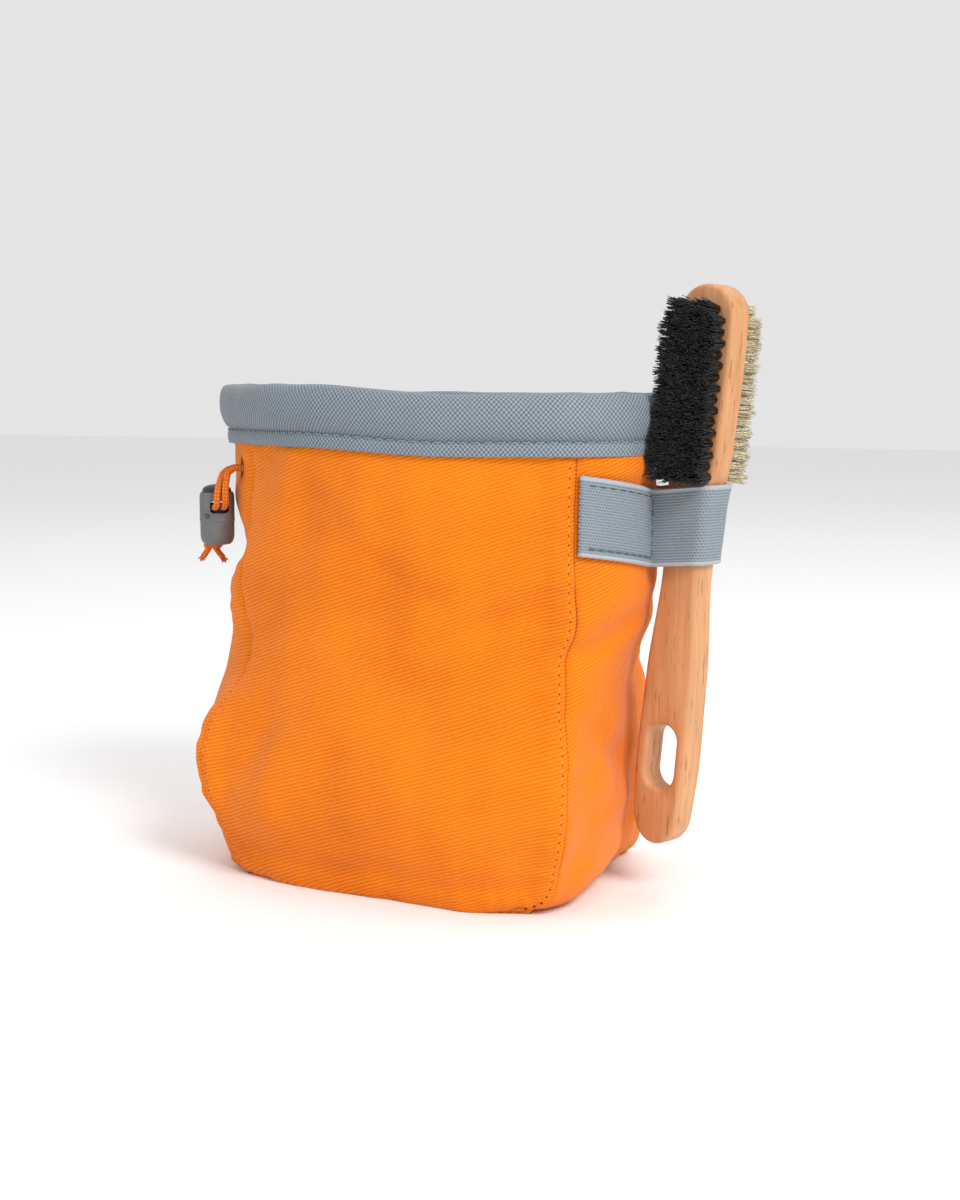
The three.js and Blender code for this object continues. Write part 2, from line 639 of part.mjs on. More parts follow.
// The thin backing that follows the board's rounded head
function fieldOutline() {
  const top = BRUSH_LENGTH - FIELD_FROM_TOP;
  const half = FIELD_WIDTH / 2;
  const cut = 0.32 * FIELD_WIDTH;
  return new THREE.Shape([
    new THREE.Vector2(-half, top - FIELD_LENGTH),
    new THREE.Vector2(half, top - FIELD_LENGTH),
    new THREE.Vector2(half, top - cut),
    new THREE.Vector2(half - cut, top),
    new THREE.Vector2(-half + cut, top),
    new THREE.Vector2(-half, top - cut),
  ]);
}

// A field of tapered tufts fused to a thin backing, facing one way through the board
function makeBristles(name, facing, tuftLength, material, frame) {
  const face = BOARD_THICK / 2 + GAP;
  const backing = new THREE.ExtrudeGeometry(fieldOutline(), { depth: BACKING, bevelEnabled: false });
  backing.rotateX(Math.PI / 2);
  backing.translate(0, facing * (face + BACKING / 2) + BACKING / 2, 0);
  let field = toSolid(backing);
  const rowStep = FIELD_LENGTH / TUFT_ROWS;
  const columnStep = FIELD_WIDTH / TUFT_COLUMNS;
  for (let i = 0; i < TUFT_ROWS; i += 1) {
    for (let j = 0; j < TUFT_COLUMNS; j += 1) {
      const x = columnStep * (j - (TUFT_COLUMNS - 1) / 2);
      const z = BRUSH_LENGTH - FIELD_FROM_TOP - FIELD_LENGTH + rowStep * (i + 0.5);
      const outermost = j === 0 || j === TUFT_COLUMNS - 1;
      if (i === TUFT_ROWS - 1 && outermost) continue;
      const tuft = new THREE.CylinderGeometry(TUFT_RADIUS, 0.72 * TUFT_RADIUS, tuftLength, 5);
      if (facing < 0) tuft.rotateX(Math.PI);
      tuft.rotateZ(-facing * TUFT_LEAN * (2 * x / FIELD_WIDTH));
      tuft.translate(x * TUFT_SPREAD, facing * (face + (BACKING + tuftLength) / 2), z);
      field = field.add(toSolid(tuft));
    }
  }
  return namedMesh(name, toGeometry(field).applyMatrix4(frame), material);
}

// The board's middle and half width where a level plane cuts it
function boardCut(z, frame) {
  const origin = new THREE.Vector3().setFromMatrixPosition(frame);
  const up = new THREE.Vector3().setFromMatrixColumn(frame, 2);
  const along = (z - origin.z) / up.z;
  return { middle: origin.addScaledVector(up, along), half: boardHalf(along / BRUSH_LENGTH) };
}

// The strap's middle line in plan at one height: flat on the side, round the board, flat again
function strapLine(rowShare, frame) {
  const off = -(GAP + STRAP_THICK / 2);
  const middle = STRAP_MIDDLE + STRAP_HEIGHT * (rowShare - 0.5);
  const slide = (share) => middle + STRAP_DROP * Math.max(0, 1 - share / STRAP_STITCH);
  const seat = (share) => clothPoint(RIGHT, share, slide(share), off);
  const shares = columnShares(RIGHT);
  const sewn = [...shares.filter((share) => share < STRAP_STITCH), STRAP_STITCH].map(seat);
  const tail = shares.filter((share) => share >= STRAP_REAR && share <= STRAP_END).map(seat);
  const cut = boardCut(middle, frame);
  const across = new THREE.Vector3(Math.cos(BRUSH_TURN), Math.sin(BRUSH_TURN), 0);
  const through = new THREE.Vector3(-across.y, across.x, 0);
  const offset = BOARD_EDGE + STRAP_EASE + STRAP_THICK / 2;
  const pivot = (x, y) => {
    const point = cut.middle.clone().addScaledVector(across, x * (cut.half - BOARD_EDGE));
    return point.addScaledVector(through, y * (BOARD_THICK / 2 - BOARD_EDGE));
  };
  const around = (centre, angle) => {
    const spot = new THREE.Vector3(Math.cos(angle), Math.sin(angle), 0).multiplyScalar(offset);
    return spot.add(centre).setZ(middle);
  };
  const mix = THREE.MathUtils.lerp;
  // The taut way from a sewn point over a near and a far corner of the board: hand is 1 on the way
  // out over the board's front and -1 on the way back
  const wrap = (sewnPoint, near, far, hand) => {
    const meets = (centre) => {
      const reach = Math.hypot(sewnPoint.x - centre.x, sewnPoint.y - centre.y);
      const angle = Math.atan2(sewnPoint.y - centre.y, sewnPoint.x - centre.x);
      const unrolled = hand * angle > 0 ? angle - hand * 2 * Math.PI : angle;
      return unrolled + hand * Math.acos(offset / reach);
    };
    const squareOut = BRUSH_TURN - hand * Math.PI / 2;
    const touches = hand * (squareOut - meets(near)) > 0;
    const start = touches ? squareOut : meets(far);
    const farBend = [0, 1 / 3, 2 / 3, 1].map((part) => around(far, mix(start, BRUSH_TURN, part)));
    const nearBend = touches
      ? [meets(near), squareOut].map((angle) => around(near, angle))
      : [0.35, 0.7].map((part) => sewnPoint.clone().lerp(farBend[0], part));
    const bends = [...nearBend, ...farBend];
    return hand > 0 ? bends : bends.reverse();
  };
  const out = wrap(sewn[sewn.length - 1], pivot(-1, -1), pivot(1, -1), 1);
  const home = wrap(tail[0], pivot(-1, 1), pivot(1, 1), -1);
  return [...sewn, ...out, ...home, ...tail];
}

// Moves a level line sideways by half the strap's thickness
function offsetLine(points, distance) {
  return points.map((point, i) => {
    const before = points[Math.max(i - 1, 0)];
    const after = points[Math.min(i + 1, points.length - 1)];
    const inDirection = new THREE.Vector3().subVectors(point, before).setZ(0);
    const outDirection = new THREE.Vector3().subVectors(after, point).setZ(0);
    if (inDirection.lengthSq() === 0) inDirection.copy(outDirection);
    if (outDirection.lengthSq() === 0) outDirection.copy(inDirection);
    const direction = inDirection.normalize().add(outDirection.normalize()).normalize();
    const lean = Math.max(direction.dot(outDirection), 0.7);
    const normal = new THREE.Vector3(direction.y, -direction.x, 0);
    return point.clone().addScaledVector(normal, distance / lean);
  });
}

function makeStrap(frame) {
  const rows = 3;
  const outer = [];
  const inner = [];
  for (let i = 0; i <= rows; i += 1) {
    const line = strapLine(i / rows, frame);
    outer.push(offsetLine(line, STRAP_THICK / 2));
    inner.push(offsetLine(line, -STRAP_THICK / 2));
  }
  return namedMesh('brush_strap', wallBetween(outer, inner), GREY_ELASTIC);
}

// One strand of the pair: which is -1 or 1
function strandCurve(which) {
  const points = CORD_ROUTE.map((row) => {
    const angle = THREE.MathUtils.degToRad(row.spread);
    const offset = new THREE.Vector3(Math.cos(angle), Math.sin(angle), 0);
    return new THREE.Vector3(row.x, row.y, row.z).addScaledVector(offset, which * STRAND_APART / 2);
  });
  return new THREE.CatmullRomCurve3(points, false, 'centripetal');
}

function makeStrand(name, which) {
  const section = new THREE.Shape();
  section.absarc(0, 0, CORD / 2, 0, 2 * Math.PI, false);
  const tube = new THREE.ExtrudeGeometry(section, {
    extrudePath: strandCurve(which),
    steps: 24,
    curveSegments: 4,
    bevelEnabled: false,
  });
  return namedMesh(name, tube, ORANGE_CORD);
}

// A turned solid about the lock's axis; the profile runs from the axis back to the axis
function turned(profile, segments) {
  const lathe = new THREE.LatheGeometry(profile.map(([radius, z]) => new THREE.Vector2(radius, z)), segments);
  lathe.rotateX(Math.PI / 2);
  return toSolid(lathe);
}

function atLock(solid) {
  const geometry = toGeometry(solid);
  geometry.translate(LOCK_SPOT.x, LOCK_SPOT.y, LOCK_BOTTOM);
  return geometry;
}

// A level oval or square bar along the strands' way through the lock
function alongCord(width, low, high, length) {
  const bar = new THREE.BoxGeometry(length, width, high - low);
  bar.translate(0, 0, (low + high) / 2);
  bar.rotateZ(THREE.MathUtils.degToRad(LOCK_SPOT.spread + 90));
  return toSolid(bar);
}

// The lock's body: a barrel with a soft ridge, a bore for the button and a hole for the cord
function makeBarrel() {
  const radius = LOCK_RADIUS;
  const recess = LOCK_HEIGHT - RECESS_DEPTH;
  const profile = [
    [0, 0],
    [0.62 * radius, 0],
    [0.86 * radius, 0.06 * LOCK_HEIGHT],
    [0.98 * radius, 0.18 * LOCK_HEIGHT],
    [0.985 * radius, 0.44 * LOCK_HEIGHT],
    [1.02 * radius, 0.47 * LOCK_HEIGHT],
    [radius, 0.50 * LOCK_HEIGHT],
    [radius, 0.93 * LOCK_HEIGHT],
    [(radius + RECESS_RADIUS) / 2, LOCK_HEIGHT],
    [RECESS_RADIUS, LOCK_HEIGHT],
    [RECESS_RADIUS, recess],
    [BORE_RADIUS, recess],
    [BORE_RADIUS, LOCK_FLOOR],
    [0, LOCK_FLOOR],
  ];
  const middle = LOCK_SPOT.z - LOCK_BOTTOM;
  const low = middle - CORD_HOLE_HEIGHT / 2;
  const hole = alongCord(CORD_HOLE_WIDTH, low, middle + CORD_HOLE_HEIGHT / 2, 4 * radius);
  const dimple = new THREE.CylinderGeometry(DIMPLE_RADIUS, DIMPLE_RADIUS, 2 * DIMPLE_DEPTH, 10);
  dimple.translate(0, -radius, middle - 0.75 * CORD_HOLE_HEIGHT);
  const barrel = turned(profile, 20).subtract(hole).subtract(toSolid(dimple));
  return namedMesh('cord_lock_barrel', atLock(barrel), LOCK_GREY);
}

// The button: a low dome on a slotted stem, raised by its spring
function makeButton() {
  const stem = BORE_RADIUS - BUTTON_FIT;
  const cap = RECESS_RADIUS - BUTTON_FIT;
  const under = LOCK_HEIGHT - RECESS_DEPTH + BUTTON_FIT + BUTTON_TRAVEL;
  const top = LOCK_HEIGHT + BUTTON_PROUD;
  const profile = [
    [0, LOCK_FLOOR + BUTTON_FIT + BUTTON_TRAVEL],
    [stem, LOCK_FLOOR + BUTTON_FIT + BUTTON_TRAVEL],
    [stem, under],
    [cap, under],
    [cap, LOCK_HEIGHT + 0.25 * BUTTON_PROUD],
    [0.84 * cap, LOCK_HEIGHT + 0.7 * BUTTON_PROUD],
    [0.46 * cap, LOCK_HEIGHT + 0.95 * BUTTON_PROUD],
    [0, top],
  ];
  const middle = LOCK_SPOT.z - LOCK_BOTTOM;
  const room = CORD / 2 + BUTTON_FIT;
  const slotWidth = STRAND_APART + CORD + 3 * GAP;
  const slot = alongCord(slotWidth, middle - room, middle + room + BUTTON_TRAVEL, 4 * LOCK_RADIUS);
  return namedMesh('cord_lock_button', atLock(turned(profile, 20).subtract(slot)), LOCK_DARK);
}

// The knot: a lump with a flat top under the strands' ends, and two short splayed tails
function makeKnot() {
  const end = CORD_ROUTE[CORD_ROUTE.length - 1];
  const lump = new THREE.IcosahedronGeometry(KNOT_RADIUS, 1);
  lump.scale(1.1, 1, 0.95);
  const top = end.z - GAP;
  const middle = top - 0.75 * KNOT_RADIUS;
  lump.translate(end.x, end.y, middle);
  let knot = toSolid(lump);
  for (const side of [-1, 1]) {
    const tail = new THREE.CylinderGeometry(0.9 * CORD / 2, 1.1 * CORD / 2, TAIL_LENGTH, 8);
    tail.rotateX(Math.PI / 2);
    tail.rotateY(side * THREE.MathUtils.degToRad(38));
    const spread = new THREE.Vector3(-side * 0.45 * TAIL_LENGTH, 0, -0.55 * TAIL_LENGTH);
    tail.translate(end.x + spread.x, end.y, middle + spread.z);
    knot = knot.add(toSolid(tail));
  }
  const above = new THREE.BoxGeometry(6 * KNOT_RADIUS, 6 * KNOT_RADIUS, 2 * KNOT_RADIUS);
  above.translate(end.x, end.y, top + KNOT_RADIUS);
  return namedMesh('cord_knot', toGeometry(knot.subtract(toSolid(above))), ORANGE_CORD);
}

const frame = brushFrame();
const chalkBag = new THREE.Group();
chalkBag.add(makePanel('front_panel', FRONT));
chalkBag.add(makePanel('back_panel', BACK));
chalkBag.add(makeGusset());
chalkBag.add(makeBinding());
chalkBag.add(makeCollar());
chalkBag.add(makeBeltLoop());
chalkBag.add(makeStrap(frame));
chalkBag.add(makeHandle(frame));
chalkBag.add(makeBristles('bristles_black', -1, BLACK_LENGTH, BLACK_BRISTLE, frame));
chalkBag.add(makeBristles('bristles_natural', 1, CREAM_LENGTH, CREAM_BRISTLE, frame));
chalkBag.add(makeStrand('drawcord_a', -1));
chalkBag.add(makeStrand('drawcord_b', 1));
chalkBag.add(makeBarrel());
chalkBag.add(makeButton());
chalkBag.add(makeKnot());

export default chalkBag;
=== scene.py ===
"""A climbing chalk bag of orange twill: padded webbing rim, drawcord with its lock, brush in an elastic loop.

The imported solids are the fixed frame: +Z up, the front faces -Y, the brush is on the +X side. Sizes are
held in millimetres, and a mesh is turned into metres where it is made.
"""

from __future__ import annotations

import logging
import math
from dataclasses import dataclass, field
from enum import Enum

import bpy
import numpy as np
from mathutils import Matrix, Vector

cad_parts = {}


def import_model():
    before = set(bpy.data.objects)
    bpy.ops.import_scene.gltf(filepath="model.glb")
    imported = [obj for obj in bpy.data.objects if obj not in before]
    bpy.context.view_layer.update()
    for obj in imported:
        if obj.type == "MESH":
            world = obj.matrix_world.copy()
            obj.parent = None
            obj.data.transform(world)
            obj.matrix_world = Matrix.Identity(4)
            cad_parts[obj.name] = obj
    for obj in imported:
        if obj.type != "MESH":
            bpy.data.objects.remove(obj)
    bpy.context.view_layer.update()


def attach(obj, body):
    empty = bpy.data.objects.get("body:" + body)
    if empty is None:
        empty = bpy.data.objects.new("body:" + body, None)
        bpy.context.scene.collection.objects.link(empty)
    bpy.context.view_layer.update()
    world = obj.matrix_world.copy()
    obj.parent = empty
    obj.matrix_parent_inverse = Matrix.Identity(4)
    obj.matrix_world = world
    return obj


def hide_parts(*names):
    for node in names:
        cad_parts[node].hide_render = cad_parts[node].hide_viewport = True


LOG = logging.getLogger("chalk_bag")
MM = 0.001
SEED = 41


class Side(Enum):
    """The four sides of the bag, counter-clockwise seen from above."""

    FRONT = 0
    RIGHT = 1
    BACK = 2
    LEFT = 3


class Body(Enum):
    """The bodies that pieces ride on."""

    BAG = "bag"
    BUTTON = "lock_button"


class Facing(Enum):
    """The two faces of the brush's board."""

    FRONTWARD = -1
    BACKWARD = 1


def smoothstep(value: np.ndarray, low: float, high: float) -> np.ndarray:
    """Returns 0 below low, 1 above high and a smooth rise between."""
    t = np.clip((np.asarray(value, float) - low) / (high - low), 0.0, 1.0)
    return t * t * (3.0 - 2.0 * t)


def unit(vectors: np.ndarray) -> np.ndarray:
    """Returns vectors of length one along the last axis."""
    size = np.linalg.norm(vectors, axis=-1, keepdims=True)
    return vectors / np.maximum(size, 1e-9)


def crowded(count: int, edge: float, crowd: float) -> np.ndarray:
    """Spreads shares across a side, closer together near its two seams.

    Args:
        count: number of steps.
        edge: share that the first and last column stand in from the seams.
        crowd: how much closer the outer columns lie.

    Returns:
        The shares, from edge to 1 - edge.
    """
    even = np.arange(count + 1) / count
    return edge + (1 - 2 * edge) * (even - crowd * np.sin(2 * np.pi * even))


def arc_lengths(points: np.ndarray) -> np.ndarray:
    """Returns the distance along a line of points, starting at 0."""
    steps = np.linalg.norm(np.diff(points, axis=0), axis=1)
    return np.concatenate([[0.0], np.cumsum(steps)])


@dataclass(frozen=True)
class ClothForm:
    """The cloth's outer face as the solids have it: sections, soft folds and a slightly sunken rim."""

    height: float = 165.0
    half_width: float = 67.0
    front_depth: float = 48.0
    back_depth: float = 45.0
    side_bulge: float = 20.0
    front_belly: float = 19.0
    back_belly: float = 19.0
    back_taper: float = 0.87
    bow: float = 2.4
    corner: float = 14.0
    cloth: float = 2.2
    gap: float = 0.3
    seam_shift: float = 0.26
    rim_dip: float = 2.8
    binding: float = 20.2
    channel: float = 14.5
    folds_start: float = 0.06
    folds_end: float = 0.86
    # at, half, front, back, left, right, belly, rear
    sections: tuple = (
        (0.00, 0.98, 0.90, 0.89, 0.70, 0.28, 0.30, 0.35),
        (0.05, 0.94, 0.91, 0.92, 0.70, 0.28, 0.35, 0.40),
        (0.10, 0.95, 0.94, 0.96, 0.71, 0.25, 0.48, 0.45),
        (0.18, 1.00, 1.00, 1.00, 0.76, 0.20, 0.48, 0.50),
        (0.30, 0.99, 0.94, 0.99, 0.96, 0.22, 0.52, 0.52),
        (0.36, 0.95, 0.83, 0.97, 1.13, 0.32, 0.60, 0.54),
        (0.42, 0.90, 0.70, 0.93, 1.28, 0.46, 0.72, 0.55),
        (0.48, 0.89, 0.65, 0.89, 1.34, 0.62, 0.80, 0.60),
        (0.55, 0.92, 0.64, 0.84, 1.16, 0.75, 0.80, 0.65),
        (0.65, 0.93, 0.68, 0.80, 0.73, 0.80, 0.80, 0.72),
        (0.75, 0.91, 0.61, 0.73, 1.03, 0.87, 0.90, 0.85),
        (0.87, 0.90, 0.56, 0.67, 1.18, 0.89, 0.98, 1.00),
        (1.00, 0.90, 0.56, 0.64, 1.26, 0.87, 0.98, 1.00),
    )
    # x of half_width, y of front_depth, z of height, long, wide, turn in degrees, deep
    folds: tuple = (
        (-0.45, -1.00, 0.80, 0.42, 0.075, -38, 0.022),
        (-0.05, -1.00, 0.66, 0.50, 0.085, -24, 0.020),
        (0.45, -1.00, 0.52, 0.36, 0.080, 30, 0.026),
        (-0.60, -1.00, 0.30, 0.34, 0.090, 52, 0.022),
        (0.15, -1.10, 0.24, 0.60, 0.120, 8, -0.024),
        (1.00, -0.40, 0.52, 0.34, 0.080, 24, 0.036),
        (0.98, -0.30, 0.30, 0.40, 0.085, -30, 0.034),
        (0.85, 0.65, 0.15, 0.34, 0.090, 20, -0.030),
        (-1.05, -0.35, 0.66, 0.32, 0.110, 10, 0.050),
        (-1.05, 0.25, 0.40, 0.45, 0.120, -25, 0.034),
        (-0.25, 1.20, 0.42, 0.55, 0.100, 18, 0.034),
        (0.35, 1.20, 0.26, 0.45, 0.100, -28, 0.030),
    )

    @property
    def top(self) -> float:
        """Height of the cloth's upper edge, inside the binding."""
        return self.height - self.binding + self.channel - self.gap

    @property
    def foot(self) -> float:
        """Height of the binding's lower edge."""
        return self.height - self.binding

    def column(self, index: int, z: np.ndarray) -> np.ndarray:
        """Reads one column of the sections at a height, by a cubic through its rows.

        Args:
            index: the column's place in a row.
            z: heights.

        Returns:
            The column's values.
        """
        table = np.array(self.sections)
        at, values = table[:, 0], table[:, index]
        last = len(at) - 1
        above = np.minimum(np.arange(last + 1) + 1, last)
        below = np.maximum(np.arange(last + 1) - 1, 0)
        slope = (values[above] - values[below]) / (at[above] - at[below])
        share = np.clip(np.asarray(z, float) / self.height, 0.0, 1.0)
        low = np.clip(np.searchsorted(at, share, side="left") - 1, 0, last - 1)
        step = at[low + 1] - at[low]
        t = (share - at[low]) / step
        start = (1 + 2 * t) * (1 - t) ** 2 * values[low] + t * (1 - t) ** 2 * slope[low] * step
        end = t * t * (3 - 2 * t) * values[low + 1] + t * t * (t - 1) * slope[low + 1] * step
        return start + end

    def draw(self, z: np.ndarray, inset: np.ndarray) -> np.ndarray:
        """Returns how far the rounded lower corner draws the cloth in at a height."""
        radius = self.corner - inset
        below = np.clip(self.corner - z, 0, radius)
        return radius - np.sqrt(np.maximum(radius * radius - below * below, 0))

    def seam_x(self, side: Side, z: np.ndarray) -> np.ndarray:
        """Returns a panel's half width at a height, without the rounded lower corner."""
        taper = self.back_taper if side is Side.BACK else 1.0
        return self.half_width * self.column(1, z) * taper

    def half(self, side: Side, z: np.ndarray, inset: np.ndarray) -> np.ndarray:
        """Returns half the side's width between its seams at a height, with the rounded lower corner."""
        return self.seam_x(side, z) - inset - self.draw(z, inset)

    def _plain(self, side: Side, share: np.ndarray, z: np.ndarray, inset: np.ndarray) -> np.ndarray:
        """Returns points before the folds push them."""
        front_x = self.half(Side.FRONT, z, inset)
        back_x = self.half(Side.BACK, z, inset)
        front_y = -(self.front_depth * self.column(2, z) - inset)
        back_y = self.back_depth * self.column(3, z) - inset
        keep = 1 - self.draw(z, inset) / (self.corner - inset)
        zero = np.zeros_like(z)
        corners = [(-front_x, front_y), (front_x, front_y), (back_x, back_y), (-back_x, back_y)]
        bulges = [
            (zero, -self.front_belly * self.column(6, z)),
            (self.side_bulge * self.column(5, z) * keep, zero),
            (zero, self.back_belly * self.column(7, z)),
            (-self.side_bulge * self.column(4, z) * keep, zero),
        ]
        here, there = corners[side.value], corners[(side.value + 1) % 4]
        bow = 1 - np.abs(2 * share - 1) ** self.bow
        x = here[0] + (there[0] - here[0]) * share + bulges[side.value][0] * bow
        y = here[1] + (there[1] - here[1]) * share + bulges[side.value][1] * bow
        return np.stack([x, y, z], axis=-1)

    def _push(self, points: np.ndarray) -> np.ndarray:
        """Returns the level push of all soft folds at points of the plain outer face."""
        push = np.zeros_like(points)
        for x, y, z, long, wide, turn, deep in self.folds:
            middle = np.array([x * self.half_width, y * self.front_depth, z * self.height])
            out = unit(np.array([middle[0] / self.half_width, middle[1] / self.front_depth, 0.0]))
            along = np.array([-out[1], out[0], 0.0])
            offset = points - middle
            level, rise = offset @ along, offset[..., 2]
            angle = math.radians(turn)
            lengthways = level * math.cos(angle) + rise * math.sin(angle)
            crossways = -level * math.sin(angle) + rise * math.cos(angle)
            through = (offset @ out) / (0.55 * self.half_width)
            far = (lengthways / (long * self.half_width)) ** 2 + (crossways / (wide * self.half_width)) ** 2
            push -= out * (deep * self.half_width * np.exp(-far - through**2))[..., None]
        return push

    def place(self, side: Side, share: np.ndarray, z: np.ndarray, inset: np.ndarray = 0.0) -> np.ndarray:
        """Gives points of the cloth.

        Args:
            side: the side of the bag.
            share: how far across the side, counter-clockwise.
            z: heights.
            inset: depth below the outer face, negative outside it.

        Returns:
            Points in millimetres, with one more axis than the arguments.
        """
        share, z, inset = np.broadcast_arrays(np.asarray(share, float), np.asarray(z, float), inset)
        push = self._push(self._plain(side, share, z, np.zeros_like(z)))
        high = self.folds_end * self.height
        fade = smoothstep(z, 0, self.folds_start * self.height)
        fade = fade * (1 - smoothstep(z, high - self.binding, high))
        points = self._plain(side, share, z, inset) + push * fade[..., None]
        turn = side.value + share
        reach = smoothstep(turn, 0.25, 0.7) * (1 - smoothstep(turn, 2.9, 3.5))
        points[..., 2] -= self.rim_dip * reach * np.maximum(z / self.height, 0) ** 2
        return points

    def edge(self, side: Side) -> float:
        """Returns the share that a side's first column stands in from its seam."""
        panel = side in (Side.FRONT, Side.BACK)
        return self.seam_shift / (self.half_width if panel else (self.front_depth + self.back_depth) / 2)


@dataclass(frozen=True)
class Shader:
    """The start of every finish: a principled material whose nodes are added step by step."""

    name: str
    roughness: float = 0.85
    specular: float = 0.3
    sheen: float = 0.0

    def start(self) -> bpy.types.Material:
        """Makes the material with its plain socket values set, and returns it."""
        material = bpy.data.materials.new(self.name)
        material.use_nodes = True
        shade = material.node_tree.nodes["Principled BSDF"]
        shade.inputs["Roughness"].default_value = self.roughness
        shade.inputs["Specular IOR Level"].default_value = self.specular
        shade.inputs["Sheen Weight"].default_value = self.sheen
        shade.inputs["Sheen Roughness"].default_value = 0.5
        return material


class Nodes:
    """A short hand for wiring one material's nodes."""

    def __init__(self, material: bpy.types.Material) -> None:
        """Args: material: the material whose tree is built."""
        self.tree = material.node_tree
        self.shade = self.tree.nodes["Principled BSDF"]

    def add(self, kind: str, inputs: dict | None = None, **settings: object) -> bpy.types.Node:
        """Adds a node.

        Args:
            kind: the node's type name.
            inputs: a value or a socket to link, by input name or place.
            settings: properties of the node.

        Returns:
            The node.
        """
        node = self.tree.nodes.new(kind)
        for key, value in settings.items():
            setattr(node, key, value)
        for key, value in (inputs or {}).items():
            if isinstance(value, bpy.types.NodeSocket):
                self.tree.links.new(value, node.inputs[key])
            else:
                node.inputs[key].default_value = value
        return node

    def math(self, operation: str, a: object, b: object = 0.0) -> bpy.types.NodeSocket:
        """Adds a maths node on a and b and returns its result."""
        return self.add("ShaderNodeMath", {0: a, 1: b}, operation=operation).outputs[0]

    def total(self, *parts: tuple, start: float = 0.0) -> bpy.types.NodeSocket:
        """Adds up sockets, each times its own weight.

        Args:
            parts: pairs of a socket and its weight.
            start: the value that the sum starts from.

        Returns:
            The sum's socket.
        """
        result = start
        for socket, weight in parts:
            result = self.math("ADD", result, self.math("MULTIPLY", socket, weight))
        return result

    def uv(self) -> tuple[bpy.types.NodeSocket, bpy.types.NodeSocket]:
        """Returns the piece's own map as u and v, in millimetres."""
        split = self.add("ShaderNodeSeparateXYZ", {0: self.add("ShaderNodeUVMap", uv_map="cloth").outputs[0]})
        return split.outputs[0], split.outputs[1]

    def place(self, scale: tuple = (1, 1, 1), turn: tuple = (0, 0, 0)) -> bpy.types.NodeSocket:
        """Returns Object coordinates, turned and scaled."""
        here = self.add("ShaderNodeTexCoord").outputs["Object"]
        return self.add("ShaderNodeMapping", {0: here, 2: turn, 3: scale}).outputs[0]

    def noise(self, at: bpy.types.NodeSocket, scale: float, detail: float = 3.0) -> bpy.types.NodeSocket:
        """Adds a noise texture and returns its value."""
        values = {"Vector": at, "Scale": scale, "Detail": detail}
        return self.add("ShaderNodeTexNoise", values).outputs[0]

    def wave(self, along: object, pitch: float) -> bpy.types.NodeSocket:
        """Returns the cosine of a length that repeats every pitch."""
        return self.math("COSINE", self.math("MULTIPLY", along, 2 * math.pi / pitch))

    def between(self, value: object, low: float, high: float) -> bpy.types.NodeSocket:
        """Returns value stretched so that low gives 0 and high gives 1, held within them."""
        return self.add("ShaderNodeMapRange", {0: value, 1: low, 2: high}).outputs[0]

    def mix(self, share: object, first: tuple | object, second: tuple | object) -> bpy.types.NodeSocket:
        """Mixes two colours and returns the result."""
        node = self.add("ShaderNodeMix", {0: share}, data_type="RGBA")
        for place, colour in ((6, first), (7, second)):
            if isinstance(colour, bpy.types.NodeSocket):
                self.tree.links.new(colour, node.inputs[place])
            else:
                node.inputs[place].default_value = (*colour, 1)
        return node.outputs[2]

    def finish(self, colour: object, height: object, depth: float, rough: object = None) -> None:
        """Wires the colour, the relief and perhaps the roughness to the shader.

        Args:
            colour: the base colour's socket.
            height: the relief's socket, about 0 to 1.
            depth: the relief's depth in millimetres.
            rough: the roughness's socket, or None to leave the value.
        """
        bump = self.add("ShaderNodeBump", {"Strength": 1.0, "Distance": depth * MM, "Height": height})
        self.tree.links.new(colour, self.shade.inputs["Base Color"])
        self.tree.links.new(bump.outputs[0], self.shade.inputs["Normal"])
        if rough is not None:
            self.tree.links.new(rough, self.shade.inputs["Roughness"])


@dataclass(frozen=True)
class TwillFinish:
    """Orange cotton twill: slanting ribs, soft fading and faint rubbed patches."""

    deep: tuple = (0.50, 0.092, 0.002)
    bright: tuple = (1.00, 0.262, 0.008)
    rib: float = 1.15
    slant: float = math.radians(108)

    def make(self) -> bpy.types.Material:
        """Returns the material."""
        material = Shader("orange twill", roughness=0.9, specular=0.12, sheen=0.12).start()
        nodes = Nodes(material)
        u, v = nodes.uv()
        across = nodes.total((u, math.cos(self.slant)), (v, math.sin(self.slant)))
        along = nodes.total((u, math.sin(self.slant)), (v, -math.cos(self.slant)))
        here = nodes.place()
        rib = nodes.wave(nodes.total((across, 1.0), (nodes.noise(here, 260.0), 0.7)), self.rib)
        yarn = nodes.wave(nodes.total((along, 1.0), (across, 0.5)), 0.8 * self.rib)
        weave = nodes.total((rib, 0.36), (yarn, 0.12), start=0.5)
        patch = nodes.between(nodes.noise(here, 24.0, 5.0), 0.3, 0.72)
        tone = nodes.total((weave, 0.55), (patch, 0.30), (nodes.noise(here, 900.0), 0.22))
        nodes.finish(nodes.mix(tone, self.deep, self.bright), weave, 0.16)
        return material


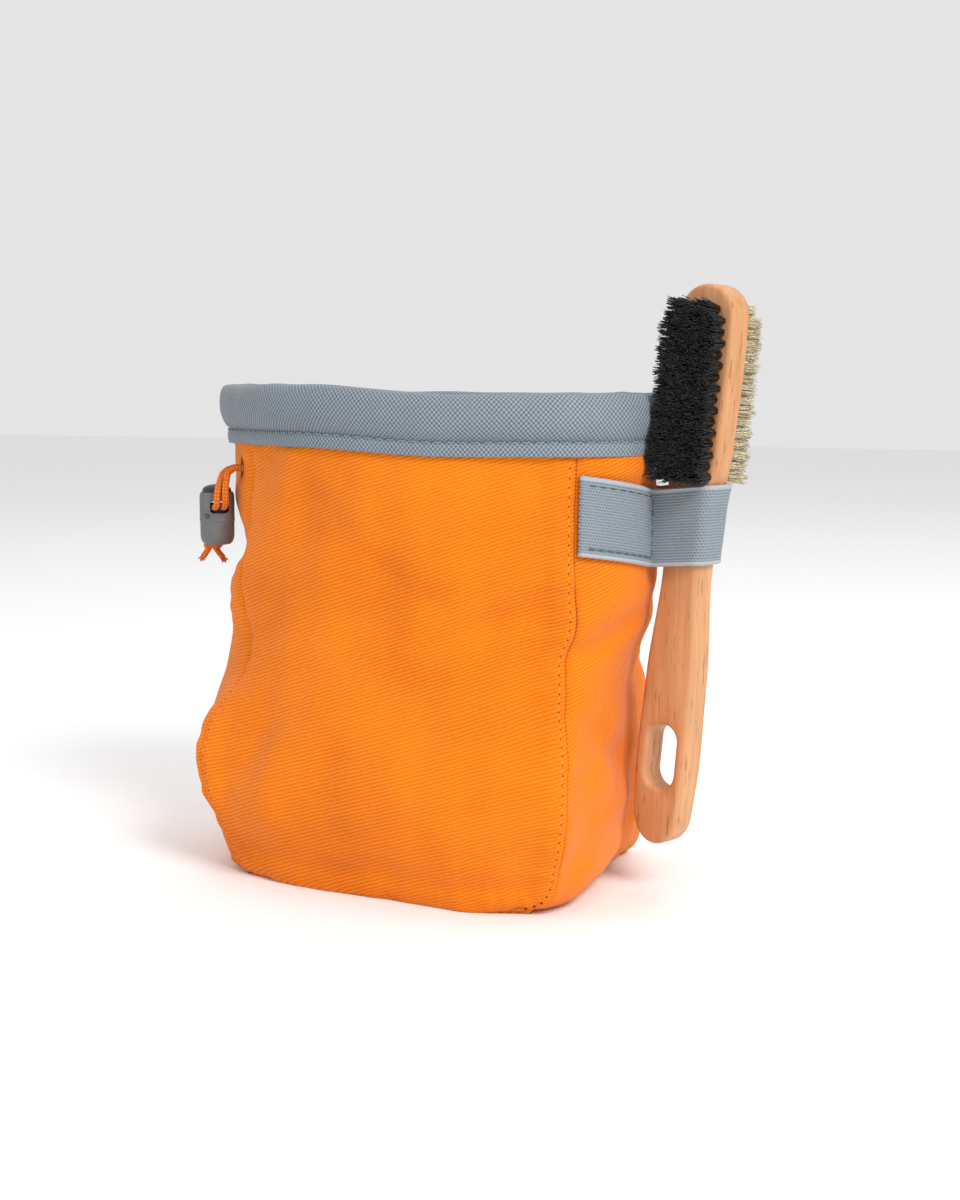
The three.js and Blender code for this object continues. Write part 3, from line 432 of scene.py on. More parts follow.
@dataclass(frozen=True)
class WebbingFinish:
    """Blue-grey basket-weave webbing: light lumps in staggered rows on a darker ground."""

    ground: tuple = (0.070, 0.092, 0.115)
    lump: tuple = (0.300, 0.350, 0.395)
    name: str = "grey webbing"
    pitch: float = 1.45
    row: float = 1.70

    def make(self) -> bpy.types.Material:
        """Returns the material."""
        material = Shader(self.name, roughness=0.7, specular=0.3, sheen=0.1).start()
        nodes = Nodes(material)
        u, v = nodes.uv()
        lumps = nodes.math("MULTIPLY", nodes.wave(u, self.pitch), nodes.wave(v, self.row))
        lumps = nodes.between(lumps, -0.75, 0.85)
        here = nodes.place()
        soft, fibre = nodes.noise(here, 30.0, 4.0), nodes.noise(here, 1200.0)
        tone = nodes.total((lumps, 0.85), (soft, 0.30), (fibre, 0.12), start=-0.10)
        nodes.finish(nodes.mix(tone, self.ground, self.lump), lumps, 0.22)
        return material


@dataclass(frozen=True)
class LiningFinish:
    """Thin grey plain weave of the inner sleeve, with crease shade painted into its colour as vertical
    streaks.
    """

    dark: tuple = (0.085, 0.100, 0.115)
    light: tuple = (0.215, 0.240, 0.265)
    pitch: float = 0.9

    def make(self) -> bpy.types.Material:
        """Returns the material."""
        material = Shader("grey lining", roughness=0.75, specular=0.25, sheen=0.15).start()
        nodes = Nodes(material)
        u, v = nodes.uv()
        weave = nodes.math("MULTIPLY", nodes.wave(u, self.pitch), nodes.wave(v, self.pitch))
        weave = nodes.between(weave, -1.0, 1.0)
        # Vertical streaks of painted crease shade in the colour, which also give the relief.
        crease_shade_and_relief = nodes.noise(nodes.place((1, 1, 0.35)), 120.0, 4.0)
        tone = nodes.total((weave, 0.5), (crease_shade_and_relief, 0.5))
        nodes.finish(nodes.mix(tone, self.dark, self.light), tone, 0.12)
        return material


@dataclass(frozen=True)
class ElasticFinish:
    """Ribbed elastic: fine ribs along it, small knitted stitches in each, paler rolled edges."""

    dark: tuple = (0.105, 0.135, 0.160)
    light: tuple = (0.350, 0.400, 0.440)
    edge: tuple = (0.520, 0.545, 0.590)
    rib: float = 0.92
    knit: float = 0.95
    width: float = 25.4
    band: float = 1.25

    def make(self) -> bpy.types.Material:
        """Returns the material."""
        material = Shader("grey elastic", roughness=0.7, specular=0.3, sheen=0.1).start()
        nodes = Nodes(material)
        u, v = nodes.uv()
        rib = nodes.wave(v, self.rib)
        odd = nodes.math("FLOOR", nodes.math("DIVIDE", v, self.rib))
        knit = nodes.wave(nodes.total((u, 1.0), (odd, 0.5 * self.knit)), self.knit)
        weave = nodes.total((rib, 0.26), (knit, 0.24), start=0.5)
        middle = nodes.math("ABSOLUTE", nodes.math("SUBTRACT", v, self.width / 2))
        band_foot = self.width / 2 - self.band
        band = nodes.between(middle, band_foot - 0.2, band_foot + 0.1)
        tone = nodes.total((weave, 0.8), (nodes.noise(nodes.place(), 60.0), 0.2))
        cloth = nodes.mix(tone, self.dark, self.light)
        nodes.finish(nodes.mix(nodes.math("MULTIPLY", band, 0.6), cloth, self.edge), weave, 0.2)
        return material


@dataclass(frozen=True)
class BeechFinish:
    """Oiled beech: fine long grain with short dark flecks along the board."""

    turn: tuple
    pale: tuple = (0.64, 0.325, 0.150)
    warm: tuple = (0.44, 0.190, 0.072)
    fleck: tuple = (0.25, 0.085, 0.030)

    def make(self) -> bpy.types.Material:
        """Returns the material."""
        material = Shader("beech", roughness=0.5, specular=0.35).start()
        nodes = Nodes(material)
        grain_at = nodes.place((1, 1, 0.045), self.turn)
        grain = nodes.noise(grain_at, 420.0, 5.0)
        broad = nodes.noise(nodes.place((1, 1, 0.10), self.turn), 55.0, 3.0)
        streak = nodes.noise(nodes.place((1, 1, 0.10), self.turn), 900.0, 2.0)
        fleck = nodes.between(streak, 0.62, 0.70)
        pore = nodes.between(grain, 0.35, 0.65)
        tone = nodes.total((broad, 0.75), (pore, 0.28))
        wood = nodes.mix(nodes.between(tone, 0.25, 0.85), self.pale, self.warm)
        wood = nodes.mix(nodes.math("MULTIPLY", fleck, 0.62), wood, self.fleck)
        height, rough = nodes.total((pore, 0.4), (fleck, -0.6)), nodes.total((pore, 0.14), start=0.40)
        nodes.finish(wood, height, 0.05, rough)
        return material


@dataclass(frozen=True)
class BristleFinish:
    """Stiff bristle whose tone changes from one to the next."""

    name: str
    dark: tuple
    light: tuple
    gloss: float = 0.4

    def make(self) -> bpy.types.Material:
        """Returns the material."""
        material = Shader(self.name, roughness=self.gloss, specular=0.4).start()
        nodes = Nodes(material)
        here = nodes.place()
        tone = nodes.between(nodes.noise(here, 1500.0, 1.0), 0.36, 0.64)
        tone = nodes.math("MULTIPLY", tone, nodes.between(nodes.noise(here, 160.0), 0.2, 0.6))
        nodes.finish(nodes.mix(tone, self.dark, self.light), tone, 0.02)
        return material


@dataclass(frozen=True)
class CordFinish:
    """Braided cord: slanting strands that cross each other."""

    deep: tuple = (0.42, 0.070, 0.003)
    bright: tuple = (0.92, 0.240, 0.012)
    braid: float = 2.2

    def make(self) -> bpy.types.Material:
        """Returns the material."""
        material = Shader("orange cord", roughness=0.75, specular=0.25, sheen=0.1).start()
        nodes = Nodes(material)
        u, v = nodes.uv()
        left = nodes.wave(nodes.math("ADD", u, v), self.braid)
        right = nodes.wave(nodes.math("SUBTRACT", u, v), self.braid)
        braid = nodes.between(nodes.math("MULTIPLY", left, right), -0.7, 0.9)
        fibre = nodes.noise(nodes.place(), 2200.0, 2.0)
        tone = nodes.total((braid, 0.7), (fibre, 0.35))
        nodes.finish(nodes.mix(tone, self.deep, self.bright), tone, 0.15)
        return material


@dataclass(frozen=True)
class MouldedFinish:
    """Moulded plastic with a fine spark-eroded grain and a few handling marks."""

    name: str
    dark: tuple
    light: tuple
    gloss: float = 0.42

    def make(self) -> bpy.types.Material:
        """Returns the material."""
        material = Shader(self.name, roughness=self.gloss, specular=0.45).start()
        nodes = Nodes(material)
        here = nodes.place()
        grain = nodes.noise(here, 2600.0, 2.0)
        worn = nodes.between(nodes.noise(here, 210.0, 4.0), 0.4, 0.75)
        rough = nodes.total((worn, 0.18), start=self.gloss)
        nodes.finish(nodes.mix(worn, self.dark, self.light), grain, 0.03, rough)
        return material


@dataclass(frozen=True)
class ThreadFinish:
    """Twisted sewing thread."""

    name: str
    colour: tuple
    shade: tuple

    def make(self) -> bpy.types.Material:
        """Returns the material."""
        material = Shader(self.name, roughness=0.7, specular=0.25).start()
        nodes = Nodes(material)
        twist = nodes.noise(nodes.place(), 1800.0, 2.0)
        nodes.finish(nodes.mix(twist, self.shade, self.colour), twist, 0.04)
        return material


@dataclass(frozen=True)
class FloorFinish:
    """Plain pale studio floor with a barely visible tooth."""

    pale: tuple = (0.90, 0.90, 0.90)
    paler: tuple = (0.94, 0.94, 0.94)

    def make(self) -> bpy.types.Material:
        """Returns the material."""
        material = Shader("studio floor", roughness=0.95, specular=0.05).start()
        nodes = Nodes(material)
        tooth = nodes.noise(nodes.place(), 300.0, 3.0)
        nodes.finish(nodes.mix(tooth, self.pale, self.paler), tooth, 0.02)
        return material


class Finishes:
    """Every finish that the object wears, each made once."""

    def __init__(self, brush_turn: tuple) -> None:
        """Args: brush_turn: the turn that brings the board's length upright, for its grain."""
        self.twill = TwillFinish().make()
        self.webbing = WebbingFinish().make()
        self.lining = LiningFinish().make()
        self.elastic = ElasticFinish().make()
        self.beech = BeechFinish(brush_turn).make()
        self.black = BristleFinish("black bristle", (0.0015, 0.0015, 0.0018), (0.030, 0.030, 0.033)).make()
        self.cream = BristleFinish("cream bristle", (0.44, 0.360, 0.205), (0.88, 0.79, 0.57), 0.5).make()
        self.cord = CordFinish().make()
        self.grey = MouldedFinish("lock grey", (0.115, 0.120, 0.125), (0.160, 0.165, 0.172)).make()
        self.dark = MouldedFinish("lock dark", (0.018, 0.019, 0.021), (0.040, 0.041, 0.044), 0.38).make()
        threads = {
            "orange thread": ((0.93, 0.330, 0.040), (0.62, 0.150, 0.010)),
            "grey thread": ((0.100, 0.135, 0.155), (0.035, 0.050, 0.060)),
            "pale grey thread": ((0.300, 0.345, 0.380), (0.120, 0.145, 0.165)),
            # The needle hole colours are painted shade: near-black for the shadow inside each hole.
            "needle hole painted shade": ((0.120, 0.022, 0.004), (0.030, 0.006, 0.002)),
        }
        made = [ThreadFinish(name, *colours).make() for name, colours in threads.items()]
        # The last of these, hole, is the painted needle-hole shade.
        self.thread, self.grey_thread, self.pale_thread, self.hole = made


def mesh_piece(name: str, points: np.ndarray, faces: list, finish: bpy.types.Material) -> bpy.types.Object:
    """Makes a smooth piece from points and faces.

    Args:
        name: the piece's name.
        points: its vertices, in millimetres.
        faces: its faces, as vertex places.
        finish: its material.

    Returns:
        The piece, at the origin, in metres.
    """
    mesh = bpy.data.meshes.new(name)
    mesh.from_pydata((np.asarray(points, float) * MM).tolist(), [], faces)
    mesh.polygons.foreach_set("use_smooth", np.ones(len(mesh.polygons), bool))
    mesh.update()
    piece = bpy.data.objects.new(name, mesh)
    bpy.context.scene.collection.objects.link(piece)
    piece.data.materials.append(finish)
    return piece


def lay_map(piece: bpy.types.Object, places: np.ndarray) -> None:
    """Gives a piece its own map.

    Args:
        piece: the piece.
        places: u and v of each vertex, in millimetres.
    """
    mesh = piece.data
    layer = mesh.uv_layers.new(name="cloth")
    loops = np.zeros(len(mesh.loops), int)
    mesh.loops.foreach_get("vertex_index", loops)
    layer.data.foreach_set("uv", np.asarray(places, float)[loops].ravel())


def dress(
    piece: bpy.types.Object, node: str | None = None, body: Body = Body.BAG
) -> bpy.types.Object:
    """Hands a piece to the frame.

    Args:
        piece: the piece.
        node: the solid that it replaces, or None for an added piece.
        body: the body that it rides on.

    Returns:
        The piece.
    """
    if node is not None:
        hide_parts(node)
    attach(piece, body.value)
    LOG.info("piece %s: %d faces", piece.name, len(piece.data.polygons))
    return piece


def pick(*pieces: bpy.types.Object) -> None:
    """Selects these pieces alone and makes the first one active."""
    bpy.ops.object.select_all(action="DESELECT")
    for piece in pieces:
        piece.select_set(True)
    bpy.context.view_layer.objects.active = pieces[0]


def smooth_by_angle(piece: bpy.types.Object, degrees: float) -> None:
    """Shades a piece smooth, with the edges sharper than this left crisp."""
    pick(piece)
    bpy.ops.object.shade_smooth_by_angle(angle=math.radians(degrees))


def grid_faces(rows: int, columns: int, start: int = 0, wrap: bool = False, flip: bool = False) -> list:
    """Lists the four-sided faces of a grid of vertices.

    Args:
        rows: number of rows.
        columns: number of columns.
        start: place of the first vertex.
        wrap: True where the last row meets the first.
        flip: True to turn the faces round.

    Returns:
        The faces.
    """
    i, j = np.meshgrid(np.arange(rows if wrap else rows - 1), np.arange(columns - 1), indexing="ij")
    up = (i + 1) % rows
    corners = [i * columns + j, i * columns + j + 1, up * columns + j + 1, up * columns + j]
    faces = np.stack(corners[::-1] if flip else corners, axis=-1).reshape(-1, 4) + start
    return faces.tolist()


def cloth_shell(
    name: str, outer: np.ndarray, inner: np.ndarray, places: np.ndarray, finish: bpy.types.Material
) -> bpy.types.Object:
    """Makes a closed wall of cloth between two grids of points.

    Args:
        name: the piece's name.
        outer: rows and columns of points on the side that shows.
        inner: the same on the other side.
        places: u and v of each outer point, in millimetres.
        finish: its material.

    Returns:
        The piece.
    """
    rows, columns = outer.shape[:2]
    size = rows * columns
    faces = grid_faces(rows, columns) + grid_faces(rows, columns, size, flip=True)
    rim = [i * columns for i in range(rows)]
    rim += [(rows - 1) * columns + j for j in range(1, columns)]
    rim += [i * columns + columns - 1 for i in range(rows - 2, -1, -1)]
    rim += [j for j in range(columns - 2, 0, -1)]
    for place, here in enumerate(rim):
        there = rim[(place + 1) % len(rim)]
        faces.append([here, there, there + size, here + size])
    points = np.concatenate([outer.reshape(-1, 3), inner.reshape(-1, 3)])
    piece = mesh_piece(name, points, faces, finish)
    flat = places.reshape(-1, 2)
    lay_map(piece, np.concatenate([flat, flat]))
    return piece


def ring_shell(
    name: str, stations: np.ndarray, places: np.ndarray, finish: bpy.types.Material
) -> bpy.types.Object:
    """Makes a closed ring whose stations each hold a closed profile.

    Args:
        name: the piece's name.
        stations: stations and profile points.
        places: u and v of each point, in millimetres.
        finish: its material.

    Returns:
        The piece.
    """
    count, size = stations.shape[:2]
    faces = []
    for row in grid_faces(count, size + 1, wrap=True):
        cells = [(place // (size + 1), place % (size + 1)) for place in row]
        faces.append([line * size + spot % size for line, spot in reversed(cells)])
    piece = mesh_piece(name, stations.reshape(-1, 3), faces, finish)
    lay_map(piece, places.reshape(-1, 2))
    round_it = float(places[-1, 0, 0] + np.linalg.norm(stations[-1, 0] - stations[0, 0]))
    layer = piece.data.uv_layers["cloth"]
    for polygon in list(piece.data.polygons)[-size:]:
        for loop in polygon.loop_indices:
            if piece.data.loops[loop].vertex_index < size:
                layer.data[loop].uv.x = round_it
    return piece


@dataclass(frozen=True)
class Run:
    """A line of sewing: the points that it follows and the directions out of the cloth there."""

    points: np.ndarray
    normals: np.ndarray

    def at(self, spots: np.ndarray) -> tuple[np.ndarray, np.ndarray, np.ndarray]:
        """Returns positions, directions along and directions out at lengths along the line."""
        lengths = arc_lengths(self.points)
        where = np.stack([np.interp(spots, lengths, self.points[:, k]) for k in range(3)], axis=1)
        out = unit(np.stack([np.interp(spots, lengths, self.normals[:, k]) for k in range(3)], axis=1))
        ahead = np.stack([np.interp(spots + 0.4, lengths, self.points[:, k]) for k in range(3)], axis=1)
        behind = np.stack([np.interp(spots - 0.4, lengths, self.points[:, k]) for k in range(3)], axis=1)
        along = unit(ahead - behind)
        out = unit(out - along * np.sum(out * along, axis=1, keepdims=True))
        return where, along, out


@dataclass(frozen=True)
class Sewing:
    """A row of stitches: rounded threads, with a small dark bead of painted shade for the needle hole at each
    end.
    """

    pitch: float = 3.0
    length: float = 2.1
    width: float = 0.55
    height: float = 0.34
    hole: float = 0.5
    sunk: float = 0.05

    def _bead(self) -> tuple[np.ndarray, np.ndarray]:
        """Models one round bead and returns its vertices and four-sided faces, then removes it."""
        bpy.ops.mesh.primitive_uv_sphere_add(segments=8, ring_count=6, radius=1.0)
        bead = bpy.context.object
        points = np.array([v.co for v in bead.data.vertices])
        faces = [list(p.vertices) for p in bead.data.polygons]
        bpy.data.meshes.remove(bead.data)
        return points, faces

    def _scatter(self, name: str, sizes: tuple, rows: list, finish: bpy.types.Material) -> bpy.types.Object:
        """Copies the bead along rows of places and joins the copies into one piece."""
        points, faces = self._bead()
        points = points * np.array(sizes)
        all_points, all_faces, start = [], [], 0
        for where, along, out in rows:
            across = np.cross(out, along)
            for k in range(len(where)):
                frame = np.stack([along[k], across[k], out[k]])
                all_points.append(points @ frame + where[k])
                all_faces += [[place + start for place in face] for face in faces]
                start += len(points)
        return mesh_piece(name, np.concatenate(all_points), all_faces, finish)

    def sew(
        self, name: str, runs: list[Run], thread: bpy.types.Material, hole: bpy.types.Material
    ) -> list[bpy.types.Object]:
        """Makes the threads and holes of several runs.

        Args:
            name: start of the pieces' names.
            runs: the lines to sew.
            thread: the thread's material.
            hole: the material of the dots of painted needle-hole shade.

        Returns:
            The threads and the dots of painted needle-hole shade, riding on the bag.
        """
        threads, hole_shade_dots = [], []
        for run in runs:
            total = arc_lengths(run.points)[-1]
            count = max(int(total / self.pitch), 1)
            step = total / count
            where, along, out = run.at(step * (np.arange(count) + 0.5))
            threads.append((where - out * self.sunk, along, out))
            # Each needle hole is painted shade: a small dark bead sunk at the stitch's end stands for the
            # shadow in the hole.
            where, along, out = run.at(step * np.arange(1, count))
            hole_shade_dots.append((where - out * 0.6 * self.hole * 0.5, along, out))
        sizes = (self.length / 2, self.width / 2, self.height / 2)
        dots = (self.hole, 0.7 * self.hole, 0.5 * self.hole)
        pieces = [self._scatter(f"{name}_thread", sizes, threads, thread)]
        pieces.append(self._scatter(f"{name}_holes", dots, hole_shade_dots, hole))
        return [dress(piece) for piece in pieces]


@dataclass
class ClothBody:
    """The sewn twill body: front and back panels and the strip that is both sides and the base."""

    form: ClothForm
    finishes: Finishes
    columns: int = 128
    strip_columns: int = 62
    corner_rows: int = 14
    upper_rows: int = 140
    base_rows: int = 72
    crowd: float = 0.115
    stitch_in: float = 1.75
    seam_gap: float = 0.04
    roll: tuple = (0.42, 0.9)
    welt: tuple = (0.22, 0.33)
    groove: tuple = (0.42, 0.55)
    pucker: tuple = (0.13, 4.5, 5.5)
    wave_sizes: tuple = (52, 44, 38, 31, 27, 23, 19, 16, 13)
    wave_depth: float = 0.0105
    eyelet_share: float = 0.9
    eyelet_height: float = 136.5
    eyelet_size: tuple = (3.9, 3.6)
    waves: list = field(default_factory=list)

    def __post_init__(self) -> None:
        """Draws the small waves of the cloth, always the same ones."""
        chance = np.random.default_rng(SEED)
        for size in self.wave_sizes:
            way = unit(chance.normal(size=3) * np.array([1.0, 1.0, 1.3]))
            self.waves.append((way * 2 * np.pi / size, chance.uniform(0, 2 * np.pi), self.wave_depth * size))

    def shares(self, side: Side, count: int) -> np.ndarray:
        """Returns a side's columns, which almost meet the next side at each seam."""
        return crowded(count, self.form.edge(side) * self.seam_gap / self.form.seam_shift, self.crowd)

    def ripple(self, points: np.ndarray) -> np.ndarray:
        """Returns the cloth's small waves at points, in millimetres outwards."""
        return sum(deep * np.sin(points @ way + phase) for way, phase, deep in self.waves)

    def seam(self, distance: np.ndarray, along: np.ndarray, sewn: float) -> np.ndarray:
        """Returns how far the cloth stands out near a seam.

        Args:
            distance: distance from the seam.
            along: length along the seam, for puckers.
            sewn: 1 where a stitched line presses in, 0 where none does.

        Returns:
            Millimetres outwards.
        """
        rolled = -self.roll[0] * (1 - np.clip(distance / self.roll[1], 0, 1)) ** 2
        high = self.welt[0] + self.welt[1] * sewn
        welt = high * smoothstep(distance, 0.6, 1.6) * (1 - smoothstep(distance, 4.5, 9.0))
        groove = -self.groove[0] * sewn * np.exp(-(((distance - self.stitch_in) / self.groove[1]) ** 2))
        gather = np.sin(2 * np.pi * along / 9.1) + 0.7 * np.sin(2 * np.pi * along / 5.7 + 1.1)
        gather += 0.5 * np.sin(2 * np.pi * along / 14.3 + 2.0)
        deep, middle, width = self.pucker
        return rolled + welt + groove + deep * np.exp(-(((distance - middle) / width) ** 2)) * gather

    def heights(self, inset: float) -> np.ndarray:
        """Returns the rows' heights at a depth below the outer face."""
        form = self.form
        turn = np.arange(self.corner_rows + 1) / self.corner_rows * np.pi / 2
        low = form.corner - (form.corner - inset) * np.cos(turn)
        high = form.corner + (form.top - form.corner) * np.arange(1, self.upper_rows + 1) / self.upper_rows
        return np.concatenate([low, high])

    def edge_distance(self, side: Side, share: np.ndarray, z: np.ndarray) -> tuple[np.ndarray, np.ndarray]:
        """Returns a panel point's distance from its U-shaped seam, and the length along that seam."""
        form = self.form
        half = form.seam_x(side, z)
        x = np.abs((2 * share - 1) * form.half(side, z, np.zeros_like(z)))
        past, under = x - (half - form.corner), form.corner - z
        in_corner = (past > 0) & (under > 0)
        distance = np.where(in_corner, form.corner - np.hypot(past, under), np.minimum(half - x, z))
        straight = form.half_width - form.corner
        side_run = straight + form.corner * np.pi / 2 + z - form.corner
        angle = np.arctan2(np.maximum(past, 0), np.maximum(under, 1e-6))
        along = np.where(in_corner, straight + form.corner * angle, np.where(half - x < z, side_run, x))
        return distance, along

    def panel(self, name: str, side: Side) -> bpy.types.Object:
        """Builds the front or back panel."""
        form = self.form
        shares = self.shares(side, self.columns)[None, :]
        z = self.heights(0.0)[:, None]
        plain = form.place(side, shares, z)
        distance, along = self.edge_distance(side, *np.broadcast_arrays(shares, z))
        under_rim = 1 - smoothstep(z, form.foot - 3.0, form.foot + 1.0)
        lift = (self.seam(distance, along, 1.0) + self.ripple(plain)) * under_rim
        outer = form.place(side, shares, z, -lift)
        outer[..., 2] += self.seam_gap * np.maximum(0, 1 - z / form.corner)
        inner_z = self.heights(form.cloth)[:, None]
        inner = form.place(side, shares, inner_z, form.cloth)
        inner[..., 2] += self.seam_gap * np.maximum(0, 1 - (inner_z - form.cloth) / form.corner)
        u = (shares - 0.5) * 2 * form.half_width + 0 * z
        places = np.stack([u, z + 0 * u], axis=-1)
        piece = cloth_shell(f"{name}_cloth", outer, inner, places, self.finishes.twill)
        return dress(piece, name)

    def strip_grid(self, inset: float) -> tuple[np.ndarray, np.ndarray]:
        """Returns the strip's points at a depth, and the row lengths along it."""
        form = self.form
        shares = self.shares(Side.RIGHT, self.strip_columns)[None, :]
        z = self.heights(inset)[:, None]
        rightward = crowded(self.base_rows, form.edge(Side.FRONT), 0.09)[1:-1]
        front = form.place(Side.FRONT, rightward, np.full_like(rightward, inset), inset)
        back = form.place(Side.BACK, 1 - rightward, np.full_like(rightward, inset), inset)

        def rows(lift: np.ndarray) -> np.ndarray:
            """Returns the strip's rows with their lift, up one side, under the base and up the other."""
            count = len(z)
            left = form.place(Side.LEFT, 1 - shares, z[::-1], inset - lift[:count])
            base = front[:, None] + (back - front)[:, None] * shares[..., None]
            base[..., 2] += np.maximum(-lift[count:-count], 0.0)
            right = form.place(Side.RIGHT, shares, z, inset - lift[-count:])
            return np.concatenate([left, base, right])

        total = 2 * len(z) + len(rightward)
        plain = rows(np.zeros((total, shares.shape[1])))
        middle = plain[:, plain.shape[1] // 2]
        run = arc_lengths(middle)
        if inset > 0:
            return plain, run
        depth = np.linalg.norm(plain[:, -1] - plain[:, 0], axis=1)[:, None]
        distance = np.minimum(shares, 1 - shares) * depth
        lift = self.seam(distance, run[:, None] + 3.3 * (shares > 0.5), 0.0) + 1.25 * self.ripple(plain)
        level = plain[..., 2]
        high = smoothstep(level, form.foot - 3.0, form.foot + 1.0)
        in_strap = (plain[..., 0] > 0) * smoothstep(level, 100, 108) * (1 - smoothstep(level, 134, 138))
        lift = lift * (1 - high) * (1 - 0.9 * in_strap)
        return rows(lift), run

    def strip(self) -> bpy.types.Object:
        """Builds the strip with the small hole that the cord leaves by."""
        form = self.form
        outer, run = self.strip_grid(0.0)
        inner, _ = self.strip_grid(form.cloth)
        shares = self.shares(Side.RIGHT, self.strip_columns)
        u = (shares[None, :] - 0.5) * (form.front_depth + form.back_depth) + 0 * run[:, None]
        places = np.stack([u, run[:, None] + 0 * u], axis=-1)
        piece = cloth_shell("gusset_cloth", outer, inner, places, self.finishes.twill)
        self.cut_eyelet(piece)
        return dress(piece, "gusset_strip")

    def cut_eyelet(self, piece: bpy.types.Object) -> None:
        """Cuts the cord's oval hole through the strip with a rounded plug."""
        form = self.form
        spot = form.place(Side.LEFT, np.array(self.eyelet_share), np.array(self.eyelet_height))
        outside = form.place(Side.LEFT, np.array(self.eyelet_share), np.array(self.eyelet_height), -1.0)
        out = Vector((outside - spot).tolist()).normalized()
        bpy.ops.mesh.primitive_cylinder_add(vertices=28, radius=1.0, depth=2.0)
        plug = bpy.context.object
        turn = out.to_track_quat("Z", "Y").to_matrix().to_4x4()
        size = Matrix.Diagonal((self.eyelet_size[1] * MM, self.eyelet_size[0] * MM, 12 * MM, 1.0))
        plug.data.transform(Matrix.Translation(Vector(spot.tolist()) * MM) @ turn @ size)
        cut_away(piece, plug)

    def seam_run(self, side: Side) -> Run:
        """Returns the stitched line that follows a panel's U-shaped edge."""
        form = self.form
        small = form.corner - self.stitch_in
        down = np.arange(form.foot - 0.6, form.corner, -1.0)
        turn = np.linspace(np.pi / 2, 0, 12)
        flat = np.linspace(1, -1, 70)[1:-1]
        side_x = form.seam_x(side, down) - self.stitch_in
        turn_z = form.corner - small * np.cos(turn)
        turn_x = form.seam_x(side, turn_z) - form.corner + small * np.sin(turn)
        flat_z = np.full_like(flat, self.stitch_in)
        flat_x = flat * (form.seam_x(side, flat_z) - form.corner)
        x = np.concatenate([side_x, turn_x, flat_x, -turn_x[::-1], -side_x[::-1]])
        z = np.concatenate([down, turn_z, flat_z, turn_z[::-1], down[::-1]])
        share = 0.5 + x / (2 * form.half(side, z, np.zeros_like(z)))
        plain = form.place(side, share, z)
        lift = self.seam(*self.edge_distance(side, share, z), 1.0) + self.ripple(plain)
        points = form.place(side, share, z, -lift)
        return Run(points, points - form.place(side, share, z, 1.0))

    def build(self) -> None:
        """Builds and dresses the whole body."""
        self.panel("front_panel", Side.FRONT)
        self.panel("back_panel", Side.BACK)
        self.strip()
        wear = self.finishes
        for name, side in (("front_seam", Side.FRONT), ("back_seam", Side.BACK)):
            # The seams' hole dots wear the painted needle-hole shade.
            Sewing().sew(name, [self.seam_run(side)], wear.thread, wear.hole)


def cut_away(piece: bpy.types.Object, plug: bpy.types.Object) -> None:
    """Cuts a plug out of a piece and removes the plug."""
    pick(piece)
    cut = piece.modifiers.new("cut", "BOOLEAN")
    cut.operation = "DIFFERENCE"
    cut.solver = "EXACT"
    cut.object = plug
    bpy.ops.object.modifier_apply(modifier=cut.name)
    bpy.data.meshes.remove(plug.data)


def round_edges(piece: bpy.types.Object, width: float, segments: int, angle: float) -> None:
    """Rounds a piece's sharp edges and applies it.

    Args:
        piece: the piece.
        width: the bevel's width in millimetres.
        segments: its segments.
        angle: edges sharper than this, in degrees, are rounded.
    """
    pick(piece)
    bevel = piece.modifiers.new("round", "BEVEL")
    bevel.width = width * MM
    bevel.segments = segments
    bevel.limit_method = "ANGLE"
    bevel.angle_limit = math.radians(angle)
    bpy.ops.object.modifier_apply(modifier=bevel.name)


